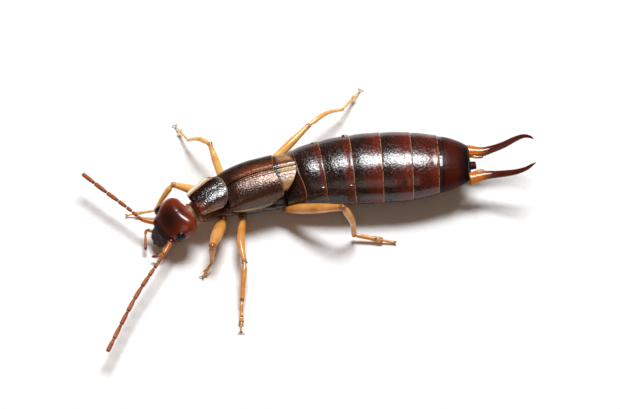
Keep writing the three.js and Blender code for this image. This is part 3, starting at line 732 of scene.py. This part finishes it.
def amber_material(name, light, deep, dark, ends=(0.06, 0.94)):
    """The clear amber of the limbs: deeper in patches, darker at the joints, and deeper underneath as painted
    shade.
    """
    s = Shader(name)
    cloud = s.noise(2.0, 3.0, 0.5, stretch=(0.8, 0.8, 1.4))
    s.colour = s.mix(s.span(cloud, 0.35, 0.68), light, deep)
    s.paint(dark, s.times(s.span(s.along, ends[0], 0.0), 0.8))
    s.paint(dark, s.times(s.span(s.along, ends[1], 1.0), 0.8))
    # Painted shade: the underside of each limb is painted deeper amber
    s.paint(deep, s.times(s.span(s.height, 0.35, 0.0), 0.35))
    grain = s.noise(14.0, 2.0)
    return s.finish(0.16, s.bump(grain, 0.002), Subsurface_Weight=0.35, Subsurface_Scale=0.00025,
                    Subsurface_Radius=(1.0, 0.45, 0.15), Coat_Weight=0.5, Coat_Roughness=0.04)


def plain_material(name, first, second, roughness=0.3, scale=6.0, depth=0.006, **values):
    """Two near colours in a fine cloud, with a soft bump."""
    s = Shader(name)
    cloud = s.noise(scale, 3.0)
    s.colour = s.mix(s.span(cloud, 0.35, 0.68), first, second)
    return s.finish(roughness, s.bump(cloud, depth), **values)


def antenna_material():
    s = Shader("feeler")
    cloud = s.noise(8.0, 3.0)
    s.colour = s.mix(s.span(cloud, 0.35, 0.65), "#93441a", "#b46024")
    s.paint("#7e3512", s.span(s.along, 0.25, 0.0))
    return s.finish(0.4, s.bump(s.noise(30.0, 2.0), 0.004), Specular_IOR_Level=0.3)


def forceps_material():
    """Clear orange at the root, dark red-brown from a third out, blackish on the inner teeth and blade, and
    blackened underneath as painted shade.
    """
    s = Shader("forceps")
    along = s.stirred(s.along, s.noise(3.0, 2.0), 0.12)
    s.colour = s.mix(s.span(along, 0.12, 0.33), "#cf7426", "#561a0f")
    s.paint("#4f1410", s.span(along, 0.55, 1.0))
    # Blackish on the teeth and the blade, and painted shade along the underside of each branch
    s.paint("#1d0d0c", s.times(s.span(s.height, 0.42, 0.12), 0.75))
    grain = s.noise(10.0, 2.0)
    return s.finish(0.16, s.bump(grain, 0.004), Coat_Weight=0.12, Coat_Roughness=0.06, Subsurface_Weight=0.08,
                    Subsurface_Scale=0.0002)


# Abdomen

def build_abdomen():
    """Seven plates from front to back, each with its front tucked into the one before."""
    count = len(RING_ENDS) - 1
    for i in range(1, count + 1):
        last = i == count
        shape = Shape()
        front = RING_ENDS[i - 1] - (RING_TUCK if i > 1 else 0.05)
        back = RING_ENDS[i]
        t = np.linspace(0, 1, 34)
        x = front + t * (back - front)
        if last:
            close = np.linspace(0, 1, 9)[1:] * math.pi / 2
            turn = back - CLOSE_FROM
            x = np.concatenate([x[x < turn], turn + CLOSE_LENGTH * np.sin(close)])
            shut = np.concatenate([np.zeros(len(x) - len(close)), CLOSE_DEPTH * (1 - np.cos(close))])
            t = (x - front) / (x[-1] - front)
        swell = (-0.11 * (1 - smooth(0, 0.16, t)) ** 2 - 0.02 * (1 - smooth(0.1, 0.4, t))
                 + 0.015 * np.sin(math.pi * t))
        if last:
            swell = swell - shut
            x = np.concatenate([x, [x[-1]]])
            swell = np.concatenate([swell, [-0.6]])
            t = np.concatenate([t, [1.0]])
        else:
            swell = swell + RING_LIP * smooth(0.80, 0.97, t)
            x = np.concatenate([x, [back + 0.006, back + 0.004, back - 0.01]])
            swell = np.concatenate([swell, [RING_LIP * 0.6, -0.02, -0.10]])
            t = np.concatenate([t, [1.03, 1.1, 1.1]])
        sides = 96
        a, b = squared(around(sides), RING_POWER)
        under = 0.045 * smooth(-0.08, -0.16, b)
        flank = 0.0
        if i in GLAND_FAR_OUT:
            flank = 0.05 * smooth(0.42, 0.18, b) * smooth(0.6, 1.0, t)[:, None]
        if i < 3:
            flank = flank + RING_SHIFT * smooth(0.2, 0.9, -a) * (t if i == 1 else 1 - t)[:, None]

        def place(x2, side, height):
            return beside(x2 + flank, side, height)

        loft(shape, x, TRUNK_KEYS, TRUNK, RING_POWER, sides, place, swell[:, None] - under,
             lie_along=t * (0.72 if last else 1))
        if i in GLAND_FAR_OUT:
            gland_folds(shape, back - GLAND_BACK, GLAND_FAR_OUT[i])
        nodes = ["abdomen_last_ring" if last else f"abdomen_ring_{i}"]
        if last:
            material = last_ring_material()
        else:
            redness, red_from = RING_RED[i - 1]
            material = tergite_material(f"tergite_{i}", redness, red_from, float(smooth(1.5, 4.5, i)))
        lip = plain_material(f"gland_lip_{i}", "#2a100c", "#3a1610", 0.1, Coat_Weight=0.6,
                             Coat_Roughness=0.05)
        shape.piece(f"tergite_{'last' if last else i}", "abdomen", nodes, [material, lip])


def gland_folds(shape, x, far):
    """The small shining fold of the scent gland on each flank; far says how far the far one stands out."""
    for out, up in GLAND_ANGLES:
        a, b = squared(math.radians(up), RING_POWER)
        height = trunk(x, "wide") + b * (trunk(x, "top") - trunk(x, "wide"))
        reach = a * trunk(x, "half") + (far if out > 0 else GLAND_NEAR_OUT)
        centre = beside(x, out * reach, height)
        turn = Matrix.Rotation(-out * 0.35, 3, "Z") @ Matrix.Rotation(0.16, 3, "X")
        shape.ball(centre, GLAND_RADII, turn, rows=12, columns=18, slot=1)


# Thorax

def build_thorax():
    """The dark blocks under the shield and the wings, with their sutures, and the neck."""
    for name, front, back, nodes, colours in (
            ("thorax_front", -4.72, -3.30, ["prothorax"], ("#3a2218", "#7a5238")),
            ("thorax_rear", -3.38, -0.95, ["pterothorax"], ("#211c1f", "#3d3230"))):
        shape = Shape()
        t = np.linspace(0, 1, 40)
        x = front + t * (back - front)
        b = squared(around(72), 2.2)[1]
        grooves = sum(hump(c, 0.018, t[:, None] + 0.12 * b) for c in (0.18, 0.52, 0.80))
        ends = 0.16 * (1 - smooth(0, 0.07, t)) + 0.16 * smooth(0.93, 1, t)
        waves = 0.03 * np.sin(t * 9)[:, None] * smooth(0.4, 0, b)
        swell = -0.035 * grooves * smooth(0.5, 0.1, b) - ends[:, None] + waves
        loft(shape, x, TRUNK_KEYS, TRUNK, 2.2, 72, beside, swell)
        shape.piece(name, "thorax", nodes, [thorax_material(name, *colours)])
    neck = Shape()
    t = np.linspace(0, 1, 30)
    x = -5.32 + t * 0.75
    folds = 0.025 * np.sin(t * 26)
    loft(neck, x, TRUNK_KEYS, TRUNK, 2.0, 64, beside, (folds - 0.02)[:, None])
    neck.piece("neck_folds", "neck", ["neck"], [neck_material()])


def build_pronotum():
    """The shield: a domed disc with a groove inside its thin, flared rim."""
    p = PRONOTUM
    u, v, edge = sheet(60, 72, 0.03, 0.025)
    side = 2 * v - 1
    start = p["front"] + p["corner_front"] * side ** 4
    end = p["rear"] - p["corner_back"] * np.abs(side) ** 2.6
    x = start + u * (end - start)
    half = p["half_front"] + u * (p["half_rear"] - p["half_front"])
    half = half * (1 - 0.10 * (1 - smooth(0, 0.14, u)) ** 2 - 0.10 * smooth(0.75, 1, u) ** 2)
    rise = p["top"] - p["rim"] - p["front_dip"] * np.clip(0.65 - u, 0, 1) ** 1.5
    dome = (1 - np.abs(side) ** 3.2) * rise
    dome = dome - p["cant"] * side * (1 - side ** 4)
    groove = 0.03 * hump(0.80, 0.07, np.abs(side)) + 0.004 * hump(0, 0.03, side) * smooth(0, 0.3, u)
    flare = 0.03 * smooth(0.86, 1, np.abs(side))
    roll = 0.03 * (1 - smooth(0, 1, edge))
    z = p["rim"] + dome - groove + flare - roll
    outer = beside(x, side * half + p["shift"] * u, z)
    shape = Shape()
    shape.plate(outer, 0.07 + 0.14 * (1 - side ** 2), u, v, edge)
    shape.piece("pronotum_shield", "pronotum", ["pronotum"], [pronotum_material()])


def tegmen_end(across):
    return -1.27 + 0.18 * np.sin(0.75 * math.pi * across) - 0.5 * smooth(0.65, 1, across) ** 1.5


def wing_sheet(stations, start, end, across, u, out):
    """Points of a wing lying over the back: across is 0 at the suture and 1 at the side edge."""
    x = start + u * (end - start)
    a, b = squared(math.pi / 2 - across * math.pi / 2, WING_POWER)
    half = measure(WING_KEYS, stations, x, "half")
    edge = measure(WING_KEYS, stations, x, "edge")
    rise = measure(WING_KEYS, stations, x, "top") - edge
    return x, out * (SUTURE + a * (half - SUTURE)), edge + b * (rise - WING_PITCH * a * half)


def build_wings():
    for name, out in SIDES:
        material = tegmen_material(f"{name}_wing_cover", out < 0)
        tip_material = wing_tip_material(f"{name}_wing_tip", out < 0)
        u, v, edge = sheet(80, 72, 0.02, 0.02)
        x, y, z = wing_sheet(TEGMEN, -3.5 - 0.3 * v ** 2, tegmen_end(v), v, u, out)
        ridge = 0.012 * hump(0.015, 0.02, v) - 0.014 * hump(0.07, 0.03, v)
        fold = -0.02 * hump(0.86, 0.015, v)
        rough = 0.006 * np.sin(9 * u + 5 * v) * smooth(0, 0.2, v) * smooth(0.85, 0.7, v)
        z = z + ridge + rough - 0.02 * (1 - smooth(0, 1, edge))
        outer = beside(x, y + out * fold, z)
        shape = Shape()
        shape.plate(outer, 0.16, u, v, edge)
        shape.piece(f"{name}_tegmen", "wing_covers", [f"{name}_wing_cover"], [material])
        across = v * WING_TIP_REACH
        end = -0.3 - 0.62 * v ** 2.1
        x, y, z = wing_sheet(WING_TIP, tegmen_end(across) - 0.1, end, across, u, out)
        crease = 0.018 * hump(0.16, 0.05, v) - 0.012 * hump(0.5, 0.2, v)
        outer = beside(x, y, z - 0.045 + crease - 0.02 * (1 - smooth(0, 1, edge)))
        tip = Shape()
        tip.plate(outer, 0.10, u, v, edge)
        tip.piece(f"{name}_hind_wing", "wing_tips", [f"{name}_wing_tip"], [tip_material])


# Head

HEAD_TURN = np.array(Matrix.Rotation(math.radians(HEAD_YAW), 3, "Z")
                     @ Matrix.Rotation(math.radians(HEAD_PITCH), 3, "Y"))


def from_head(points):
    return points @ HEAD_TURN.T + HEAD_AT


def head_point(x, side, z):
    return stacked(x - HEAD_LOBES * side ** 2 * np.clip(-2 * x, 0, 1), side, z)


def build_head():
    shape = Shape()
    t = np.linspace(0, 1, 64)
    x = -0.83 + t * 1.47
    ends = (-0.15 * (1 - smooth(0, 0.32, t)) ** 2 - 0.13 * (1 - smooth(0, 0.1, t)) ** 1.5
            - 0.10 * smooth(0.92, 1, t) ** 2)

    def brow(x2, side, b):
        top = smooth(0.1, 0.5, b)
        suture = -0.010 * hump(0, 0.022, side) * smooth(0.05, -0.15, x2)
        arms = -0.008 * hump(0.95 * (x2 + 0.1), 0.03, np.abs(side)) * smooth(-0.12, 0, x2)
        hollow = -0.02 * hump(0.30, 0.16, x2) * hump(0, 0.3, side)
        mounds = 0.03 * hump(0.40, 0.12, x2) * hump(0.50, 0.12, np.abs(side))
        return top * (suture + arms + hollow + mounds)

    loft(shape, x, HEAD_KEYS, HEAD, 2.1, 120, head_point, ends[:, None], shape_up=brow)
    # The head's material reads x and the side instead of the ring's height
    grid = shape.points[0]
    shape.lie[0] = stacked((grid[:, 0] + 1.05) / 1.6, (grid[:, 1] + 1) / 2)
    shape.piece("head_capsule", "head", ["head"], [head_material()], from_head)

    eyes = eye_material()
    for name, out in (("left", 1), ("right", -1)):
        eye = Shape()
        eye.ball((EYE["x"], out * EYE["side"], EYE["z"]), (EYE["long"], EYE["thick"], EYE["high"]),
                 rows=30, columns=40)
        eye.piece(f"{name}_compound_eye", "eyes", [f"{name}_eye"], [eyes], from_head)

    muzzle = Shape()
    t = np.linspace(0, 1, 70)
    x = 0.46 + t * 0.73
    b = squared(around(80), 2.4)[1]
    folds = (-0.035 * hump(0.37, 0.025, t) - 0.014 * hump(0.20, 0.02, t) - 0.016 * hump(0.56, 0.02, t)
             - 0.012 * hump(0.72, 0.02, t) + 0.012 * np.sin(t * 60) * smooth(0.4, 0.5, t))
    close = -0.20 * smooth(0.86, 1, t) ** 2
    swell = folds[:, None] * smooth(-0.2, 0.2, b) + close[:, None]
    loft(muzzle, x, HEAD_KEYS, MUZZLE, 2.4, 80, stacked, swell)
    muzzle.piece("mouth_plates", "mouthparts", ["mouthparts"], [muzzle_material()], from_head)

    jaw = Shape()
    for out in (-1, 1):
        path = Path([(0.5, out * 0.36, -0.12), (0.85, out * 0.36, -0.18), (1.08, out * 0.14, -0.24)])
        limb(jaw, path, 0, path.length, lambda t: 0.11 - 0.075 * t ** 1.5, rows=18, sides=16, flat=0.8)
    material = plain_material("mandible", "#2b1310", "#4a1d12", 0.2)
    jaw.piece("mandibles", "mouthparts", [], [material], from_head)


# Feelers and palps

def build_antennae():
    joint = plain_material("feeler_joint", "#e8cdb4", "#d9b898", 0.4, Subsurface_Weight=0.2,
                           Subsurface_Scale=0.0001)
    whip_material = antenna_material()
    scape_material = amber_material("scape", "#d07a26", "#b0601c", "#7d3a12")
    for name, feeler in ANTENNAE.items():
        shape = Shape()
        path = Path(feeler["scape"])
        limb(shape, path, 0.05, path.length - 0.05,
             lambda t: 0.075 + 0.03 * smooth(0, 0.3, t) - 0.02 * smooth(0.8, 1, t), rows=24)
        shape.tube(*socket_rim(feeler["scape"]), slot=1)
        rim_material = plain_material("socket_rim", "#4a170e", "#6a2412", 0.2, Coat_Weight=0.2)
        shape.piece(f"{name}_scape", "antennae", [f"{name}_antenna_scape"], [scape_material, rim_material])
        whip = Shape()
        path = Path(feeler["whip"])
        lengths = np.array(feeler["joints"]) / sum(feeler["joints"]) * path.length
        ends = np.cumsum(lengths)
        for i, end in enumerate(ends):
            start = end - lengths[i]
            thick = 0.075 if i < 1 else 0.066 + 0.006 * min(i, 4)
            gap = 0.045 if i > 0 else 0.01

            def club(t):
                return thick * (0.72 + 0.28 * smooth(0, 0.4, t)) * (1 - 0.1 * smooth(0.9, 1, t))

            limb(whip, path, start + gap, end - 0.035, club, rows=14, sides=16, domes=(0.3, 0.3))
            limb(whip, path, start - 0.05, start + gap + 0.03, even(0.022), rows=4, sides=10,
                 domes=(0.3, 0.3), slot=1)
        nodes = [f"{name}_antenna_base", f"{name}_antenna_tip"]
        whip.piece(f"{name}_whip", "antennae", nodes, [whip_material, joint])
        build_palp(name, joint)


def socket_rim(scape):
    """The ring round the foot of a feeler: its points and their lie."""
    root, tip = (np.array(p, float) for p in scape)
    axis = (tip - root) / np.linalg.norm(tip - root)
    side = sideways(axis)
    out = np.cross(side, axis)
    angle = around(28)
    rings = []
    for a in np.linspace(0, 1, 9)[1:-1] * math.pi:
        radius = 0.055 + 0.085 * math.sin(a)
        rings.append(root + axis * (0.10 + 0.09 * math.cos(a))
                     + radius * (np.cos(angle)[:, None] * side + np.sin(angle)[:, None] * out))
    return np.array(rings), (0.5, 0.5)


def build_palp(name, joint):
    shape = Shape()
    path = Path(PALPS[name])
    end = 0.0
    for i, (share, thick) in enumerate(PALP_JOINTS):
        start, end = end, end + share * path.length
        last = i == len(PALP_JOINTS) - 1

        def spindle(t):
            return thick * (0.7 + 0.3 * smooth(0, 0.6, t)) * (1 - (0.55 if last else 0.1) * smooth(0.7, 1, t))

        limb(shape, path, start + 0.03, end - 0.025, spindle, rows=14, sides=14, domes=(0.5, 0.6),
             slot=2 if last else 0)
        limb(shape, path, start - 0.03, start + 0.05, even(0.034), rows=4, sides=10, domes=(0.3, 0.3), slot=1)
    amber = amber_material(f"{name}_palp_amber", "#e08c30", "#c46c1e", "#a05018")
    tip = plain_material(f"{name}_palp_tip", "#8c3412", "#6a220e", 0.3)
    shape.piece(f"{name}_maxillary_palp", "legs", [f"{name}_palp"], [amber, joint, tip])


# Legs

def build_legs():
    near_amber = amber_material("near_leg_amber", "#e6a85e", "#cf8638", "#8f4c1c")
    # The far legs' amber is a lighter copy of the near legs' amber: painted light on the far side
    lit_far_amber = amber_material("far_leg_lit_amber", "#ffc878", "#f2ae5a", "#bb7236")
    root_amber = amber_material("coxa_amber", "#c98a4a", "#a56c38", "#5e3820")
    claw = plain_material("claw", "#a5602c", "#8a4620", 0.4)
    hairs = plain_material("bristle", "#d9a05a", "#b97a3a", 0.4)
    for name, (hip, knee, ankle, toe) in LEGS.items():
        out = -1 if name.startswith("left") else 1
        # The far legs take the lighter copy of the amber, which is painted light
        amber = near_amber if out < 0 else lit_far_amber
        femur_half, tibia_top, tibia_end, tarsus_half = LEG_THICKNESS[name]
        forward, arch, back = LEG_BOW[name]
        root = beside(hip[0], out * COXA_ROOT["side"], COXA_ROOT["z"])

        coxa = Shape()
        path = Path([root, hip])
        limb(coxa, path, 0, path.length * 0.8, lambda t: 0.25 - 0.06 * t, rows=16, sides=24)
        limb(coxa, path, path.length * 0.75, path.length + 0.05, even(0.15), rows=8)
        coxa.piece(f"{name}_hip", "legs", [f"{name}_coxa"], [root_amber])

        femur = Shape()
        path = Path([hip, halfway(hip, knee) - (forward, 0, 0), knee])

        def spindle(t):
            return femur_half * (0.68 + 0.32 * smooth(0, 0.25, t) - 0.38 * smooth(0.5, 1, t))

        limb(femur, path, 0.08, path.length - 0.06, spindle, rows=40, sides=28, flat=0.86)
        across = sideways(path.along(path.length))
        for way in (-1, 1):
            femur.ball(knee + way * across * 0.06, (0.075, 0.05, 0.075), rows=10, columns=14, lie=(0.97, 0.6))
        femur.piece(f"{name}_thigh", "legs", [f"{name}_femur"], [amber])

        shin = Shape()
        path = Path([knee, halfway(knee, ankle) + (back, 0, arch), ankle])

        def shaft(t):
            narrowing = (tibia_end - tibia_top) * smooth(0.2, 0.9, t)
            return tibia_top * (0.62 + 0.38 * smooth(0, 0.18, t)) + narrowing

        limb(shin, path, 0.02, path.length - 0.03, shaft, rows=36, sides=22, flat=0.85)
        bristles(shin, path, 0.1, path.length - 0.05, tibia_end, 26, hash_seed(name, 1))
        shin.piece(f"{name}_shin", "legs", [f"{name}_tibia"], [amber, hairs])
        build_foot(name, ankle, toe, tarsus_half, [amber, hairs, claw])


def hash_seed(name, extra):
    return sum(ord(letter) for letter in name) * 7 + extra


def bristles(shape, path, start, stop, radius, count, seed, long=(0.07, 0.13)):
    """Fine hairs that lean towards the tip of a limb."""
    random = np.random.default_rng(seed)
    for s, turn, length in zip(random.uniform(start, stop, count), random.uniform(0, 2 * math.pi, count),
                               random.uniform(*long, count)):
        along = path.along(s)
        side = sideways(along)
        out = np.cross(side, along)
        lean = math.cos(turn) * side + math.sin(turn) * out
        root = path.at(s) + lean * radius * 0.8
        hair = Path([root, root + (0.75 * lean + 0.65 * along) * length])
        limb(shape, hair, 0, hair.length, lambda t: 0.006 * (1 - 0.8 * t), rows=3, sides=3, domes=(0, 0),
             slot=1)


def build_foot(name, ankle, toe, half, materials):
    """Three joints, the second one short and lobed, and a pair of claws."""
    shape = Shape()
    # The foot's line starts at the ankle and comes down to just above the floor
    toe = (*toe[:2], TOE_HEIGHT)
    middle = halfway(ankle, toe)
    middle[2] = min(middle[2], 0.6 * ankle[2] + 0.4 * TOE_HEIGHT)
    path = Path([ankle, middle, toe])
    first, second, third = (share * path.length for share in FOOT_JOINTS)

    def taper(t, thick):
        return thick * (0.8 + 0.2 * smooth(0, 0.3, t) + 0.12 * smooth(0.7, 1, t))

    limb(shape, path, 0.02, first - 0.02, lambda t: taper(t, half), rows=22, sides=18)
    limb(shape, path, second - 0.02, third, lambda t: taper(t, half * 0.62), rows=18, sides=14)
    across = sideways(path.along(first))
    for way in (-1, 1):
        lobe = Path([path.at(first - 0.03), path.at(second) + way * across * 0.065])
        limb(shape, lobe, 0, lobe.length, lambda t: half * (0.7 + 0.35 * np.sin(math.pi * t)), rows=12,
             sides=14)
    bristles(shape, path, 0.1 * path.length, first, half, 16, hash_seed(name, 2), long=(0.05, 0.09))
    tip, along = path.at(third), path.along(third)
    across = sideways(along)
    for way in (-1, 1):
        claw = Path([tip, tip + along * 0.05 + across * way * 0.06 + UP * 0.01,
                     tip + along * 0.09 + across * way * 0.14 - UP * (tip[2] - 0.03)])
        limb(shape, claw, 0, claw.length, lambda t: 0.022 * (1 - 0.6 * t), rows=12, sides=8,
             domes=(1, 0.5), slot=2)
    for points in shape.points:
        points[..., 2] = np.maximum(points[..., 2], FLOOR_GAP)
    shape.piece(f"{name}_foot", "legs", [f"{name}_tarsus"], materials)


# Forceps

def build_forceps():
    material = forceps_material()
    for name, out in SIDES:
        shape = Shape()
        path = Path(FORCEPS[name])

        def radius(t):
            return hermite([p[0] for p in FORCEPS_RADIUS], [p[1] for p in FORCEPS_RADIUS], t)

        limb(shape, path, -0.12, path.length - 0.02, radius, rows=90, sides=28, flat=0.74, domes=(0.2, 0.6))
        edge = []
        for i in range(5):
            share = TOOTH_FROM + TOOTH_STEP * i
            side = np.cross(UP, path.along(share * path.length))
            side *= -out * np.sign(side[1])
            reach = radius(share) - 0.07 + 0.11 * hump(2.6, 1.3, i)
            edge.append(path.at(share * path.length) + side * reach)
            shape.ball(edge[-1], TOOTH_RADII, rows=8, columns=10, lie=(share, 0.2))
        # The widened blade of the inner side, which ends in a blunt tooth
        blade = Path([edge[0], edge[2], edge[3]])
        limb(shape, blade, 0, blade.length, lambda t: 0.1 - 0.03 * t, rows=14, sides=14, flat=0.6,
             lie=(0.1, 0.3))
        shape.piece(f"{name}_pincer", "forceps", [f"{name}_forceps_branch"], [material])

    plate = Shape()
    p = PYGIDIUM
    path = Path([beside(p["x"], p["side"], p["z"]), beside(p["x"] + p["length"], p["side"], p["z"])])
    limb(plate, path, 0, path.length - 0.03, lambda t: p["half"] * (1 - 0.1 * t), rows=14, sides=24, flat=0.7,
         domes=(0.1, 0.15))
    material = plain_material("pygidium", "#34100e", "#461612", 0.5, Specular_IOR_Level=0.1)
    plate.piece("pygidial_plate", "forceps", ["pygidium"], [material])


# Stage

def build_camera():
    """The photograph's view: from the left side, a little in front, and well above."""
    azimuth, elevation = math.radians(-12), math.radians(52)
    lens, sensor, pixels, scale = 200, 36, 620, 24
    distance = pixels / sensor * lens / scale
    back = Vector((math.sin(azimuth) * math.cos(elevation), -math.cos(azimuth) * math.cos(elevation),
                   math.sin(elevation)))
    camera = placed("camera", bpy.data.cameras.new("camera"))
    camera.data.lens = lens
    camera.data.sensor_width = sensor
    camera.data.clip_start = 0.005
    camera.data.clip_end = 20
    camera.location = (Vector(SHIFT + UP) + back * distance) * MM
    camera.rotation_mode = "QUATERNION"
    camera.rotation_quaternion = (-back).to_track_quat("-Z", "Y")
    bpy.context.scene.camera = camera


def build_light(name, towards, size, power, colour):
    """A rectangular lamp that looks at the animal from the direction given."""
    towards = Vector(towards).normalized()
    lamp = bpy.data.lights.new(name, "AREA")
    lamp.shape = "RECTANGLE"
    lamp.size, lamp.size_y = size
    lamp.energy = power
    lamp.color = colour
    light = placed(name, lamp)
    light.location = towards * LAMP_DISTANCE
    light.rotation_mode = "QUATERNION"
    light.rotation_quaternion = (-towards).to_track_quat("-Z", "Y")


def build_stage():
    for name, lamp in LAMPS.items():
        build_light(name, *lamp)
    world = bpy.data.worlds.new("studio")
    bpy.context.scene.world = world
    world.use_nodes = True
    background = world.node_tree.nodes["Background"]
    background.inputs["Color"].default_value = WORLD_COLOUR
    background.inputs["Strength"].default_value = 1.0
    mesh = bpy.data.meshes.new("floor")
    r = FLOOR_REACH
    mesh.from_pydata([(-r, -r, 0), (r, -r, 0), (r, r, 0), (-r, r, 0)], [], [(0, 1, 2, 3)])
    mesh.uv_layers.new(name="Lie")
    s = Shader("white_paper")
    fibre = s.noise(1.6, 5.0, 0.6)
    s.colour = s.mix(fibre, "#f1f1f2", "#f8f8f9")
    mesh.materials.append(s.finish(0.8, s.bump(fibre, 0.05), Specular_IOR_Level=0.2))
    floor = placed("floor", mesh)
    bpy.context.scene.view_settings.view_transform = "Standard"


build_camera()
build_stage()
build_abdomen()
build_thorax()
build_pronotum()
build_wings()
build_head()
build_antennae()
build_legs()
build_forceps()
